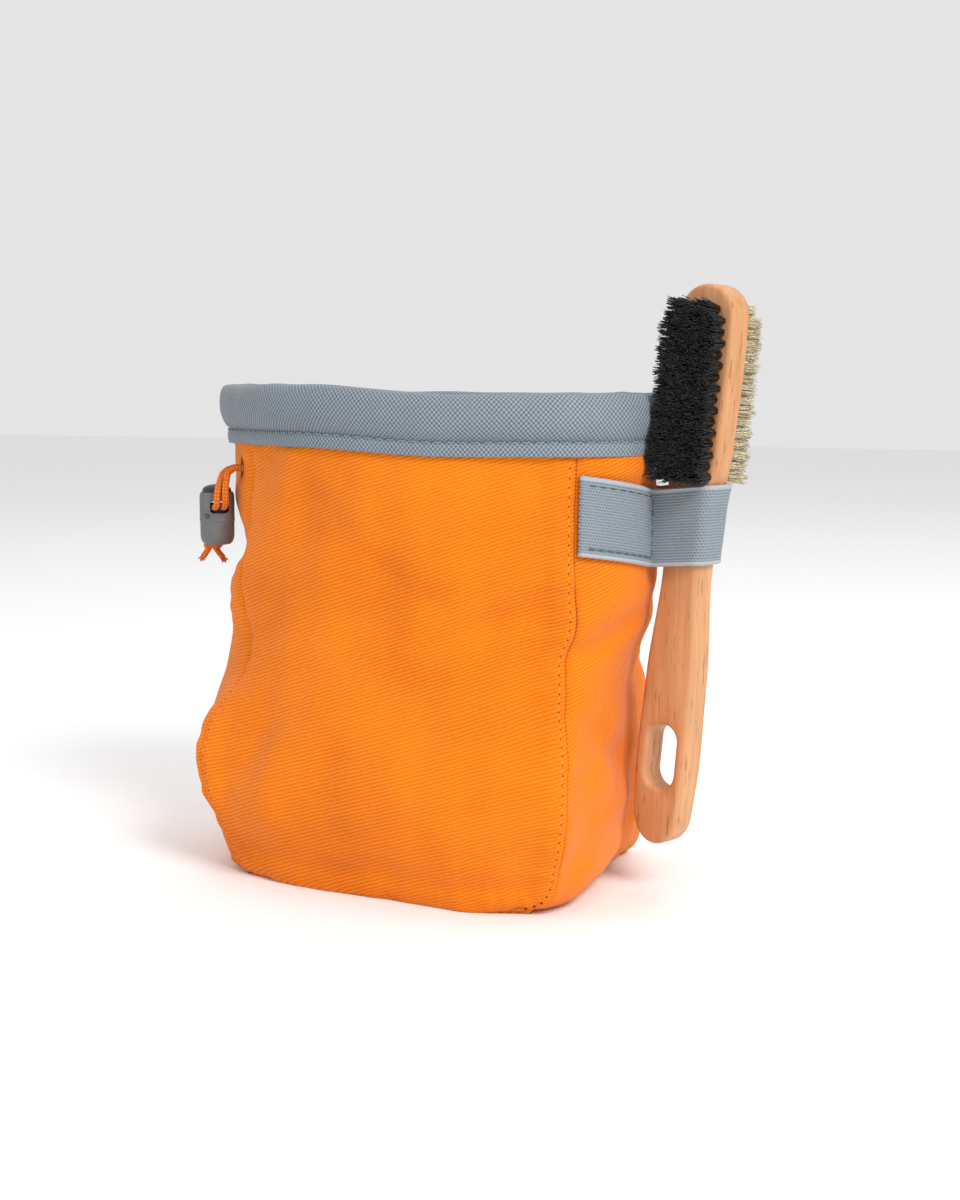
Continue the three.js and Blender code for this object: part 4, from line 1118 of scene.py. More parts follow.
@dataclass
class RimRing:
    """Rings that follow the cloth all round: the padded binding and the gathered inner sleeve."""

    form: ClothForm
    finishes: Finishes
    stations: int = 104
    strip: float = 4.8
    wall: float = 1.2
    head: float = 3.2
    sleeve_length: float = 42.0
    sleeve_wall: float = 1.1
    sleeve_room: float = 5.0
    hem_height: float = 6.0
    hem_width: float = 5.4
    hem_room: float = 1.6
    gathers: int = 58
    fill: float = 0.7

    def station_sides(self) -> list[tuple[Side, np.ndarray]]:
        """Returns each side with the shares of its stations."""
        return [(side, crowded(self.stations, self.form.edge(side), 0.09)) for side in Side]

    def ring(self, insets: np.ndarray, heights: np.ndarray) -> np.ndarray:
        """Places a profile at every station.

        Args:
            insets: depth of each profile point, one row for each station or one for all.
            heights: height of each profile point, likewise.

        Returns:
            Points by station and profile place.
        """
        parts = []
        count = self.stations + 1
        for number, (side, shares) in enumerate(self.station_sides()):
            rows = slice(number * count, (number + 1) * count)
            depth = insets[rows] if insets.shape[0] > 1 else insets
            height = heights[rows] if heights.shape[0] > 1 else heights
            parts.append(self.form.place(side, shares[:, None], height + 0 * depth, depth))
        return np.concatenate(parts)

    def places(self, stations: np.ndarray) -> np.ndarray:
        """Returns the map of a ring: length round it and length along its profile."""
        round_it = arc_lengths(stations[:, 0])
        along = np.array([arc_lengths(line) for line in stations[:: self.stations // 2]]).mean(axis=0)
        u = np.repeat(round_it[:, None], stations.shape[1], axis=1)
        return np.stack([u, np.repeat(along[None], len(stations), axis=0)], axis=-1)

    def curve(self, knots: list, steps: int) -> np.ndarray:
        """Rounds a profile through its knots and returns its points."""
        knots = np.array(knots)
        padded = np.concatenate([[2 * knots[0] - knots[1]], knots, [2 * knots[-1] - knots[-2]]])
        line = []
        for k in range(1, len(padded) - 2):
            a, b, c, d = padded[k - 1 : k + 3]
            square, cubic = 2 * a - 5 * b + 4 * c - d, 3 * b - a - 3 * c + d
            for t in np.arange(steps) / steps:
                line.append(0.5 * (2 * b + (c - a) * t + square * t**2 + cubic * t**3))
        line.append(knots[-1])
        return np.array(line)

    def binding(self) -> None:
        """Builds and dresses the padded rim with its stitched flat strip."""
        form = self.form
        out, into = -form.gap, form.cloth + form.gap
        foot, waist = form.foot, form.foot + self.strip
        high = form.height - waist
        head = self.head
        knots = [
            (out - 0.25, foot + 0.05),
            (out - 1.05, foot - 0.05),
            (out - self.wall, foot + 0.7),
            (out - 1.15 * self.wall, foot + 0.55 * self.strip),
            (out - 0.75 * self.wall, waist - 0.35),
            (out - 0.62 * self.wall, waist + 0.15),
            (out - 0.62 * head, waist + 0.12 * high),
            (out - 0.95 * head, waist + 0.34 * high),
            (out - head, waist + 0.55 * high),
            (out - 0.84 * head, waist + 0.80 * high),
            (out - 0.48 * head, waist + 0.945 * high),
            (out + 0.02 * head, form.height - 0.02 * high),
            (into - 0.05 * head, form.height - 0.01 * high),
            (into + 0.44 * head, waist + 0.92 * high),
            (into + 0.78 * head, waist + 0.72 * high),
            (into + 0.84 * head, waist + 0.42 * high),
            (into + 0.60 * head, waist + 0.14 * high),
            (into + 0.75 * self.wall, waist),
            (into + 1.1 * self.wall, foot + 0.5 * self.strip),
            (into + self.wall, foot + 0.5),
            (into + 0.6, foot),
            (into + 0.1, foot + 0.1),
        ]
        skin = self.curve(knots, 3)
        lining = np.array([(into, form.top + 0.3), (out, form.top + 0.3)])
        profile = np.concatenate([skin, lining])
        count = 4 * (self.stations + 1)
        turn = np.arange(count)[:, None] / count * 2 * np.pi
        uneven = 0.32 * np.sin(5 * turn + 0.6) + 0.22 * np.sin(11 * turn + 2.1) + 0.14 * np.sin(23 * turn)
        padded = smoothstep(profile[:, 1], waist, waist + 0.5 * high)[None, :]
        on_skin = np.concatenate([np.ones(len(skin)), np.zeros(2)])[None, :]
        outward = np.where(profile[:, 0] < form.cloth / 2, -1.0, 1.0)[None, :]
        insets = profile[:, 0][None, :] + 0.5 * uneven * padded * outward * on_skin
        heights = profile[:, 1][None, :] + 0.55 * np.roll(uneven, 17, axis=0) * padded * on_skin
        stations = self.ring(insets, heights)
        piece = ring_shell("padded_rim", stations, self.places(stations), self.finishes.webbing)
        dress(piece, "rim_binding")
        stitched = [k for k, row in enumerate(profile) if abs(row[1] - waist) < 0.5 and row[0] < 0][0]
        inside = [k for k, row in enumerate(profile) if abs(row[1] - waist) < 0.5 and row[0] > 0][0]
        runs = []
        for place in (stitched, inside):
            line = stations[:, place]
            sign = -1.0 if place == stitched else 1.0
            normals = sign * (self.ring(insets[:, [place]] + 1.0, heights[:, [place]])[:, 0] - line)
            runs.append(Run(np.concatenate([line, line[:1]]), np.concatenate([normals, normals[:1]])))
        sewing = Sewing(pitch=4.0, length=2.9, width=0.62, height=0.7, hole=0.5, sunk=-0.16)
        wear = self.finishes
        sewing.sew("rim_seam", runs, wear.pale_thread, wear.grey_thread)

    def sleeve(self) -> None:
        """Builds and dresses the gathered inner sleeve with its hem."""
        form = self.form
        top = form.foot - form.gap
        hem = top - self.sleeve_length + self.hem_height
        near = form.cloth + form.gap
        wall = near + self.sleeve_room
        face = near + self.hem_room
        knots_out = [
            (near + self.sleeve_wall, top),
            (near + self.sleeve_wall + 1.6, top - 2.5),
            (wall + self.sleeve_wall, top - 0.26 * self.sleeve_length),
            (wall + self.sleeve_wall, top - 0.55 * self.sleeve_length),
            (wall + self.sleeve_wall, hem + 2.0),
            (wall + self.sleeve_wall - 0.1, hem),
            (face + self.hem_width, hem - 0.30 * self.hem_height),
            (face + self.hem_width, hem - 0.72 * self.hem_height),
            (face + 0.75 * self.hem_width, hem - self.hem_height),
            (face + 0.25 * self.hem_width, hem - self.hem_height),
            (face, hem - 0.72 * self.hem_height),
            (face, hem - 0.30 * self.hem_height),
            (face + 0.2 * self.hem_width, hem),
            (wall - 0.1, hem + 1.6),
            (wall, top - 0.55 * self.sleeve_length),
            (wall, top - 0.26 * self.sleeve_length),
            (near + 0.9, top - 2.5),
            (near, top),
        ]
        profile = self.curve(knots_out, 3)
        count = 4 * (self.stations + 1)
        phase = np.arange(count)[:, None] / count * 2 * np.pi
        gather = np.sin(self.gathers * phase + 0.8 * np.sin(7 * phase))
        gather = gather + 0.4 * np.sin(2.6 * self.gathers * phase)
        deep = 0.75 * smoothstep(top - profile[:, 1], 2.0, 0.8 * self.sleeve_length)[None, :]
        insets = profile[:, 0][None, :] + deep * gather
        heights = profile[:, 1][None, :] + 0.25 * deep * np.sin(9 * phase)
        stations = self.ring(insets, heights)
        piece = ring_shell("inner_sleeve", stations, self.places(stations), self.finishes.lining)
        dress(piece, "closure_collar")

    def build(self) -> None:
        """Builds both rings."""
        self.binding()
        self.sleeve()


@dataclass
class BeltLoop:
    """The plain webbing loop on the back, sewn flat at both ends."""

    form: ClothForm
    finishes: Finishes
    width: float = 40.0
    length: float = 50.0
    lift: float = 9.0
    thick: float = 1.6
    below_rim: float = 3.0
    sewn: float = 0.16
    rows: int = 90
    columns: int = 56

    def grid(self, inset: float) -> np.ndarray:
        """Returns the loop's points at a depth below the cloth's face."""
        top = self.form.foot - self.below_rim
        up = np.arange(self.rows + 1)[:, None] / self.rows
        z = top - self.length + self.length * up
        rise = smoothstep(np.minimum(up, 1 - up) - self.sewn, 0.0, 0.2)
        depth = inset - self.lift * rise
        half = self.width / (4 * self.form.half(Side.BACK, z, depth))
        share = 0.5 + half * (2 * np.arange(self.columns + 1)[None, :] / self.columns - 1)
        return self.form.place(Side.BACK, share, z, depth)

    def build(self) -> None:
        """Builds and dresses the loop."""
        thick = self.form.gap + self.thick
        outer, inner = self.grid(-thick), self.grid(-self.form.gap)
        out = unit(outer - inner)
        across = np.arange(self.columns + 1) / self.columns * self.width
        rounded = 0.45 * smoothstep(1.0 - np.minimum(across, self.width - across), 0.0, 1.0)[None, :, None]
        run = arc_lengths(outer[:, self.columns // 2])
        u, v = np.meshgrid(across, run)
        face, back = outer - out * rounded, inner + out * rounded * 0.5
        piece = cloth_shell("webbing_loop", face, back, np.stack([u, v], axis=-1), self.finishes.webbing)
        dress(piece, "belt_loop")
        flat = int(self.sewn * self.rows)
        low_columns, high_columns = 4, self.columns - 4
        runs = []
        for first, last in ((2, flat), (self.rows - flat, self.rows - 2)):
            corners = [(first, low_columns), (first, high_columns), (last, high_columns), (last, low_columns)]
            lines = [(corners[k], corners[(k + 1) % 4]) for k in range(4)]
            lines += [(corners[0], corners[2]), (corners[1], corners[3])]
            for (row_a, column_a), (row_b, column_b) in lines:
                share = np.linspace(0, 1, 40)
                rows = np.rint(row_a + (row_b - row_a) * share).astype(int)
                columns = np.rint(column_a + (column_b - column_a) * share).astype(int)
                runs.append(Run(outer[rows, columns], out[rows, columns]))
        sewing = Sewing(pitch=3.2, length=2.4, height=0.5, sunk=-0.05)
        wear = self.finishes
        sewing.sew("belt_loop_seam", runs, wear.pale_thread, wear.grey_thread)


@dataclass
class BrushPlace:
    """Where the brush stands: its sizes and its own frame, from its tip to its head."""

    form: ClothForm
    length: float = 180.0
    thick: float = 10.0
    grip: float = 19.6
    neck: float = 13.6
    head: float = 21.0
    edge: float = 1.6
    lean: float = math.radians(5.4)
    turn: float = math.radians(-15)
    tip_height: float = 16.5
    standoff: float = 13.0
    along: float = 2.0
    strap_middle: float = 121.0
    strap_stitch: float = 0.42

    def __post_init__(self) -> None:
        """Works out the frame's three directions and its origin at the tip."""
        seat = self.form.place(Side.RIGHT, np.array(self.strap_stitch), np.array(self.strap_middle))
        centre = np.array([seat[0] + self.standoff, self.along, self.strap_middle])
        self.up = np.array([math.sin(self.lean), 0.0, math.cos(self.lean)])
        level = np.array([math.cos(self.turn), math.sin(self.turn), 0.0])
        self.across = unit(level - self.up * float(level @ self.up))
        self.through = np.cross(self.up, self.across)
        self.origin = centre - self.up * (self.strap_middle - self.tip_height) / self.up[2]

    def world(self, points: np.ndarray) -> np.ndarray:
        """Turns points of the brush's own frame into the bag's frame."""
        return points @ np.stack([self.across, self.through, self.up]) + self.origin

    def half(self, share: np.ndarray) -> np.ndarray:
        """Returns the board's half width at shares of its length from the tip."""
        marks = (
            (0.00, 0.42 * self.grip),
            (0.16, 0.50 * self.grip),
            (0.30, 0.47 * self.grip),
            (0.50, 0.50 * self.neck),
            (0.60, 0.53 * self.neck),
            (0.72, 0.47 * self.head),
            (0.86, 0.50 * self.head),
            (1.00, 0.48 * self.head),
        )
        at = np.array([mark[0] for mark in marks])
        value = np.array([mark[1] for mark in marks])
        low = np.clip(np.searchsorted(at, share, side="left") - 1, 0, len(marks) - 2)
        t = np.clip((share - at[low]) / (at[low + 1] - at[low]), 0, 1)
        return value[low] + (value[low + 1] - value[low]) * t * t * (3 - 2 * t)


@dataclass
class ClimbingBrush:
    """The brush: a beech board with a hanging slot, black tufts in front and cream ones behind."""

    place: BrushPlace
    finishes: Finishes
    slot_width: float = 11.0
    slot_length: float = 21.5
    slot_from_tip: float = 29.0
    field_width: float = 16.0
    field_from_top: float = 6.0
    field_foot: float = 119.0
    tuft_rows: int = 16
    tuft_columns: int = 5
    strands: int = 92
    tuft_radius: float = 1.75
    sunk: float = 0.1

    def outline(self) -> np.ndarray:
        """Returns the board's outline, less its rounded edge, as points across and along."""
        place = self.place
        arc = 0.47 * place.grip
        quarter = arc * (1 - np.cos(np.linspace(0, np.pi / 2, 14)))
        straight = np.linspace(arc, place.length - arc, 64)[1:-1]
        alongs = np.concatenate([quarter, straight, place.length - quarter[::-1]])
        from_end = np.minimum(alongs, place.length - alongs)
        rounded = np.where(from_end < arc, np.sqrt(np.maximum(1 - (1 - from_end / arc) ** 2, 0)), 1.0)
        half = place.half(alongs / place.length) * rounded
        right = np.stack([half, alongs], axis=1)
        left = np.stack([-half, alongs], axis=1)[1:-1][::-1]
        return np.concatenate([right, left])

    def board(self) -> bpy.types.Object:
        """Builds the beech board: a filled outline with its slot, extruded, then rounded all over."""
        place = self.place
        outline = self.outline()
        bpy.ops.object.select_all(action="DESELECT")
        bpy.ops.mesh.primitive_circle_add(vertices=len(outline), radius=1.0)
        board = bpy.context.object
        for vertex, spot in zip(board.data.vertices, outline):
            vertex.co = Vector((spot[0], -place.thick / 2, spot[1])) * MM
        bpy.ops.object.mode_set(mode="EDIT")
        bpy.ops.mesh.select_all(action="SELECT")
        bpy.ops.mesh.edge_face_add()
        bpy.ops.mesh.extrude_region_move(TRANSFORM_OT_translate={"value": (0, place.thick * MM, 0)})
        bpy.ops.mesh.select_all(action="SELECT")
        bpy.ops.mesh.normals_make_consistent(inside=False)
        bpy.ops.object.mode_set(mode="OBJECT")
        radius, depth = self.slot_width / 2 * MM, 3 * place.thick * MM
        bpy.ops.mesh.primitive_cylinder_add(vertices=40, radius=radius, depth=depth)
        plug = bpy.context.object
        reach = (self.slot_length - self.slot_width) / 2
        for vertex in plug.data.vertices:
            shift = reach if vertex.co.y > 0 else -reach
            side = vertex.co.y + shift * MM
            vertex.co = Vector((vertex.co.x, vertex.co.z, side + self.slot_from_tip * MM))
        plug.data.flip_normals()
        cut_away(board, plug)
        round_edges(board, place.edge, 4, 55)
        points = place.world(np.array([v.co for v in board.data.vertices]) / MM) * MM
        board.data.vertices.foreach_set("co", points.ravel())
        board.name = "beech_board"
        board.data.materials.clear()
        board.data.materials.append(self.finishes.beech)
        smooth_by_angle(board, 32)
        return board

    def tuft_spots(self) -> list[tuple[float, float]]:
        """Returns the tufts' middles, across and along the board, staggered and following its round head."""
        spots = []
        length = self.place.length - self.field_from_top - self.field_foot
        for row in range(self.tuft_rows):
            along = self.field_foot + length * (row + 0.5) / self.tuft_rows
            left_over = self.place.length - self.field_from_top - along
            narrow = 1.0 - 0.42 * max(0.0, 1 - left_over / 7.0)
            for column in range(self.tuft_columns):
                across = (column / (self.tuft_columns - 1) - 0.5) * (self.field_width - 1.6) * narrow
                spots.append((across + 0.35 * (-1) ** row, along))
        return spots

    def bristles(
        self, name: str, facing: Facing, reach: float, splay: float, thick: float, finish: bpy.types.Material
    ) -> bpy.types.Object:
        """Grows one field of bristles as joined strands.

        Args:
            name: the piece's name.
            facing: the board's face that they stand on.
            reach: how far they stand out.
            splay: how far the tips spread from the root, as a share of the tuft's radius.
            thick: a strand's width at its root.
            finish: its material.

        Returns:
            The piece.
        """
        chance = np.random.default_rng(SEED + facing.value + 1)
        sign = facing.value
        spots = np.array(self.tuft_spots())
        count = len(spots) * self.strands
        tuft = np.repeat(spots, self.strands, axis=0)
        angle = chance.uniform(0, 2 * np.pi, count)
        radius = self.tuft_radius * np.sqrt(chance.uniform(0, 1, count))
        offset = np.stack([np.cos(angle), np.sin(angle)], axis=1) * radius[:, None]
        foot = tuft + 0.62 * offset
        seat = np.full(count, (self.place.thick / 2 - self.sunk) * sign)
        root = np.stack([foot[:, 0], seat, foot[:, 1]], axis=1)
        shorter = 0.10 * chance.uniform(0, 1, count) ** 2 + 0.05 * (radius / self.tuft_radius) ** 2
        length = reach * (1 - shorter)
        length = length * np.repeat(1 + 0.03 * chance.normal(size=len(spots)), self.strands)
        lean_x = splay * offset[:, 0] + 0.13 * tuft[:, 0] + 0.30 * chance.normal(size=count)
        lean_z = splay * offset[:, 1] + 0.30 * chance.normal(size=count)
        head = np.clip((tuft[:, 1] - (self.place.length - 12)) / 12, 0, 1)
        lean_z = lean_z + 1.1 * head - 0.5 * np.clip((self.field_foot + 5 - tuft[:, 1]) / 5, 0, 1)
        bend = 0.22 * chance.normal(size=(count, 2))
        levels = []
        for part in (0.0, 0.5, 1.0):
            curve = part * (1 - part)
            levels.append(
                np.stack(
                    [
                        root[:, 0] + lean_x * part**1.3 + 4 * bend[:, 0] * curve,
                        root[:, 1] + sign * length * part,
                        root[:, 2] + lean_z * part**1.3 + 4 * bend[:, 1] * curve,
                    ],
                    axis=1,
                )
            )
        width = np.array([1.0, 0.92, 0.62]) * thick / 2
        corner = np.array([0.0, 2 * np.pi / 3, 4 * np.pi / 3])
        turn = chance.uniform(0, 2 * np.pi, count)
        rings = []
        for level, half in zip(levels, width):
            for place in corner:
                shift = np.stack([np.cos(turn + place), np.zeros(count), np.sin(turn + place)], axis=1)
                rings.append(level + shift * half)
        points = np.stack(rings, axis=1).reshape(-1, 3)
        pattern = [[0, 1, 4, 3], [1, 2, 5, 4], [2, 0, 3, 5], [3, 4, 7, 6], [4, 5, 8, 7], [5, 3, 6, 8]]
        quads = np.array(pattern) if sign > 0 else np.array(pattern)[:, ::-1]
        ends = np.array([[6, 7, 8], [2, 1, 0]]) if sign > 0 else np.array([[8, 7, 6], [0, 1, 2]])
        starts = (np.arange(count) * 9)[:, None, None]
        faces = (quads[None] + starts).reshape(-1, 4).tolist() + (ends[None] + starts).reshape(-1, 3).tolist()
        return mesh_piece(name, self.place.world(points), faces, finish)

    def build(self) -> None:
        """Builds and dresses the brush."""
        board = self.board()
        black = self.bristles("black_bristles", Facing.FRONTWARD, 10.4, 0.85, 0.36, self.finishes.black)
        cream = self.bristles("cream_bristles", Facing.BACKWARD, 8.6, 0.60, 0.28, self.finishes.cream)
        dressed = (
            (board, "brush_handle", "beech"),
            (black, "bristles_black", "black_bristle"),
            (cream, "bristles_natural", "cream_bristle"),
        )
        for piece, node, slot in dressed:
            dress(piece, node)


@dataclass
class BrushStrap:
    """The ribbed elastic: sewn flat from the front seam, looped round the board, sewn again behind."""

    form: ClothForm
    place: BrushPlace
    finishes: Finishes
    height: float = 25.4
    thick: float = 1.8
    drop: float = 5.4
    rear: float = 0.68
    end: float = 0.95
    ease: float = 0.5
    rib: float = 0.92
    rows: int = 164
    sewn_steps: int = 34
    lead_steps: int = 14
    bend_steps: int = 14
    box_edge: float = 0.115

    def line(self, row_share: float) -> np.ndarray:
        """Returns the strap's middle line in plan at one height, as the solid has it."""
        form, place = self.form, self.place
        off = -(form.gap + self.thick / 2)
        middle = place.strap_middle + self.height * (row_share - 0.5)
        stitch = place.strap_stitch

        def seat(share: np.ndarray) -> np.ndarray:
            """Returns points that lie on the cloth at shares of the side."""
            higher = self.drop * np.maximum(0, 1 - share / stitch)
            return form.place(Side.RIGHT, share, middle + higher, off)

        sewn = seat(np.linspace(form.edge(Side.RIGHT), stitch, self.sewn_steps))
        tail = seat(np.linspace(self.rear, self.end, self.sewn_steps // 2))
        up_by = (middle - place.origin[2]) / place.up[2]
        centre = place.origin + place.up * up_by
        half = float(place.half(np.array(up_by / place.length)))
        across = np.array([math.cos(place.turn), math.sin(place.turn)])
        through = np.array([-across[1], across[0]])
        offset = place.edge + self.ease + self.thick / 2

        def pivot(x: float, y: float) -> np.ndarray:
            """Returns the middle of one of the board's rounded edges."""
            wide, deep = half - place.edge, place.thick / 2 - place.edge
            return centre[:2] + across * x * wide + through * y * deep

        def around(spot: np.ndarray, angles: np.ndarray) -> np.ndarray:
            """Returns points of an arc round a spot."""
            ring = np.stack([np.cos(angles), np.sin(angles)], axis=1) * offset + spot
            return np.concatenate([ring, np.full((len(angles), 1), middle)], axis=1)

        def wrap(start: np.ndarray, near: np.ndarray, far: np.ndarray, hand: int) -> np.ndarray:
            """Leads the strap from its sewn end round the board.

            Args:
                start: the sewn end.
                near: the board's edge that it may bear on.
                far: the board's edge that it bends round.
                hand: 1 for the front half, -1 for the rear one.

            Returns:
                Points from the sewn end onwards, or the other way for the rear half.
            """

            def meets(spot: np.ndarray) -> float:
                """Returns the angle at which a straight run from the start touches the arc round a spot."""
                reach = math.hypot(*(start[:2] - spot))
                angle = math.atan2(start[1] - spot[1], start[0] - spot[0])
                unrolled = angle - hand * 2 * math.pi if hand * angle > 0 else angle
                return unrolled + hand * math.acos(offset / reach)

            square_out = place.turn - hand * math.pi / 2
            touches = hand * (square_out - meets(near)) > 0
            first = square_out if touches else meets(far)
            far_bend = around(far, np.linspace(first, place.turn, self.bend_steps))
            if touches:
                near_bend = around(near, np.linspace(meets(near), square_out, self.lead_steps))
            else:
                share = (np.arange(self.lead_steps) + 1)[:, None] / (self.lead_steps + 1)
                near_bend = start + (far_bend[0] - start) * share
            bends = np.concatenate([near_bend, far_bend])
            return bends if hand > 0 else bends[::-1]

        out = wrap(sewn[-1], pivot(-1, -1), pivot(1, -1), 1)
        home = wrap(tail[0], pivot(-1, 1), pivot(1, 1), -1)
        line = np.concatenate([sewn, out, home, tail])
        for _ in range(3):
            line[1:-1] = (line[:-2] + 2 * line[1:-1] + line[2:]) / 4
        return line

    def build(self) -> None:
        """Builds and dresses the strap."""
        shares = np.arange(self.rows + 1) / self.rows
        grid = np.stack([self.line(float(share)) for share in shares])
        ahead = np.concatenate([grid[:, 1:], grid[:, -1:]], axis=1)
        behind = np.concatenate([grid[:, :1], grid[:, :-1]], axis=1)
        along = ahead - behind
        along[..., 2] = 0
        along = unit(along)
        out = np.stack([along[..., 1], -along[..., 0], np.zeros(along.shape[:2])], axis=-1)
        v = shares * self.height
        from_edge = np.minimum(v, self.height - v)
        ribs = 0.10 * np.cos(2 * np.pi * v / self.rib) * smoothstep(from_edge, 1.4, 1.8)
        band = 0.20 * smoothstep(from_edge, 0.0, 0.5) * (1 - smoothstep(from_edge, 1.0, 1.5))
        rolled = -0.55 * (1 - np.clip(from_edge / 0.7, 0, 1)) ** 2
        lift = (self.thick / 2 - 0.1 + ribs + band + rolled)[:, None]
        run = arc_lengths(grid[self.rows // 2])
        stitch_at = self.sewn_steps - 2
        pressed = 0.30 * np.exp(-(((run - run[stitch_at]) / 1.1) ** 2))[None, :]
        outer = grid + out * (lift - pressed)[..., None]
        inner = grid - out * (self.thick / 2 + 0 * lift)[..., None]
        u, vv = np.meshgrid(run, v)
        places = np.stack([u, vv], axis=-1)
        piece = cloth_shell("elastic_strap", outer, inner, places, self.finishes.elastic)
        dress(piece, "brush_strap")
        low = int(self.box_edge * self.rows)
        high = int((1 - self.box_edge) * self.rows)
        lengthways, rows = slice(2, stitch_at + 1), slice(low, high + 1)
        runs = [
            Run(outer[high, lengthways], out[high, lengthways]),
            Run(outer[rows, stitch_at][::-1], out[rows, stitch_at][::-1]),
            Run(outer[low, lengthways][::-1], out[low, lengthways][::-1]),
            Run(outer[rows, -4], out[rows, -4]),
            Run(outer[rows, -14], out[rows, -14]),
        ]
        sewing = Sewing(pitch=3.1, length=2.5, width=0.55, height=0.5, hole=0.40, sunk=-0.05)
        thread = self.finishes.grey_thread
        sewing.sew("strap_seam", runs, thread, thread)


@dataclass(frozen=True)
class CordRoute:
    """The drawcord's route, in metres, with the direction in degrees in which its two strands lie apart."""

    points: tuple = (
        (-0.0605, -0.0210, 0.1093, 127),
        (-0.0638, -0.0198, 0.1200, 127),
        (-0.0648, -0.0189, 0.1270, 127),
        (-0.0652, -0.0185, 0.1320, 127),
        (-0.0666, -0.0193, 0.1354, 127),
        (-0.0699, -0.0217, 0.1364, 135),
        (-0.0722, -0.0246, 0.1350, 152),
        (-0.0718, -0.0276, 0.1316, 172),
        (-0.0714, -0.0293, 0.1276, 194),
        (-0.0720, -0.0286, 0.1244, 214),
        (-0.0739, -0.0266, 0.1230, 225),
        (-0.0783, -0.0222, 0.12275, 225),
        (-0.0827, -0.0178, 0.1226, 225),
        (-0.0851, -0.0154, 0.1210, 225),
        (-0.0860, -0.0146, 0.1178, 225),
        (-0.0860, -0.0146, 0.1131, 225),
    )
    diameter: float = 0.0023
    gap: float = 0.0003

    @property
    def lock(self) -> tuple:
        """The point where the route passes the lock's axis."""
        return self.points[11]

    def strand(self, which: int, steps: int = 22) -> np.ndarray:
        """Returns one strand's middle line.

        Args:
            which: -1 or 1.
            steps: points between two points of the route.

        Returns:
            Points in metres on a smooth centripetal curve.
        """
        rows = np.array(self.points)
        angle = np.radians(rows[:, 3])
        apart = (self.diameter + 2 * self.gap) / 2 * which
        knots = rows[:, :3] + apart * np.stack([np.cos(angle), np.sin(angle), 0 * angle], axis=1)
        padded = np.concatenate([[2 * knots[0] - knots[1]], knots, [2 * knots[-1] - knots[-2]]])
        line = []
        for k in range(1, len(padded) - 2):
            a, b, c, d = padded[k - 1 : k + 3]
            t0, t1, t2 = (max(float(np.linalg.norm(q - p)) ** 0.5, 1e-6) for p, q in ((a, b), (b, c), (c, d)))
            slope_b = ((b - a) / t0 - (c - a) / (t0 + t1) + (c - b) / t1) * t1
            slope_c = ((c - b) / t1 - (d - b) / (t1 + t2) + (d - c) / t2) * t1
            for t in np.arange(steps) / steps:
                cubic = 2 * b - 2 * c + slope_b + slope_c
                square = -3 * b + 3 * c - 2 * slope_b - slope_c
                line.append(b + slope_b * t + square * t**2 + cubic * t**3)
        line.append(knots[-1])
        return np.array(line)


def cord_tube(
    name: str, line: np.ndarray, diameter: float, finish: bpy.types.Material, closed: bool = False
) -> bpy.types.Object:
    """Sweeps a braided cord along a line.

    Args:
        name: the piece's name.
        line: the middle line in millimetres, closely spaced.
        diameter: the cord's diameter in millimetres.
        finish: its material.
        closed: True for a line that ends where it starts.

    Returns:
        The piece, with rounded ends where it isn't closed.
    """
    sides = 18
    ways = unit(np.gradient(line, axis=0))
    if closed:
        ways = unit(np.roll(line, -1, axis=0) - np.roll(line, 1, axis=0))
    normal = unit(np.cross(ways[0], [0.3, 0.2, 1.0]))
    normals = []
    for way in ways:
        normal = unit(normal - way * float(normal @ way))
        normals.append(normal)
    normals = np.array(normals)
    sideways = np.cross(ways, normals)
    run = arc_lengths(line)
    turn = np.arange(sides) / sides * 2 * np.pi
    braid_a = np.cos(3 * turn[None, :] + run[:, None] * 2.6)
    braid_b = np.cos(3 * turn[None, :] - run[:, None] * 2.6)
    radius = diameter / 2 * (1.0 + 0.05 * np.maximum(braid_a, braid_b) - 0.02)
    if not closed:
        ends = np.minimum(run, run[-1] - run)
        radius = radius * np.sqrt(np.clip(ends / 0.35, 0.02, 1))[:, None]
    ring = np.cos(turn)[None, :, None] * normals[:, None] + np.sin(turn)[None, :, None] * sideways[:, None]
    points = (line[:, None] + ring * radius[..., None]).reshape(-1, 3)
    faces = []
    rows = len(line)
    for i in range(rows if closed else rows - 1):
        for j in range(sides):
            ahead, beside = (i + 1) % rows, (j + 1) % sides
            faces.append([i * sides + j, i * sides + beside, ahead * sides + beside, ahead * sides + j])
    if not closed:
        faces.append(list(range(sides))[::-1])
        faces.append([(rows - 1) * sides + j for j in range(sides)])
    piece = mesh_piece(name, points, faces, finish)
    round_it = np.repeat((turn * diameter / 2)[None, :], rows, axis=0)
    lay_map(piece, np.stack([np.repeat(run[:, None], sides, axis=1), round_it], axis=-1).reshape(-1, 2))
    return piece


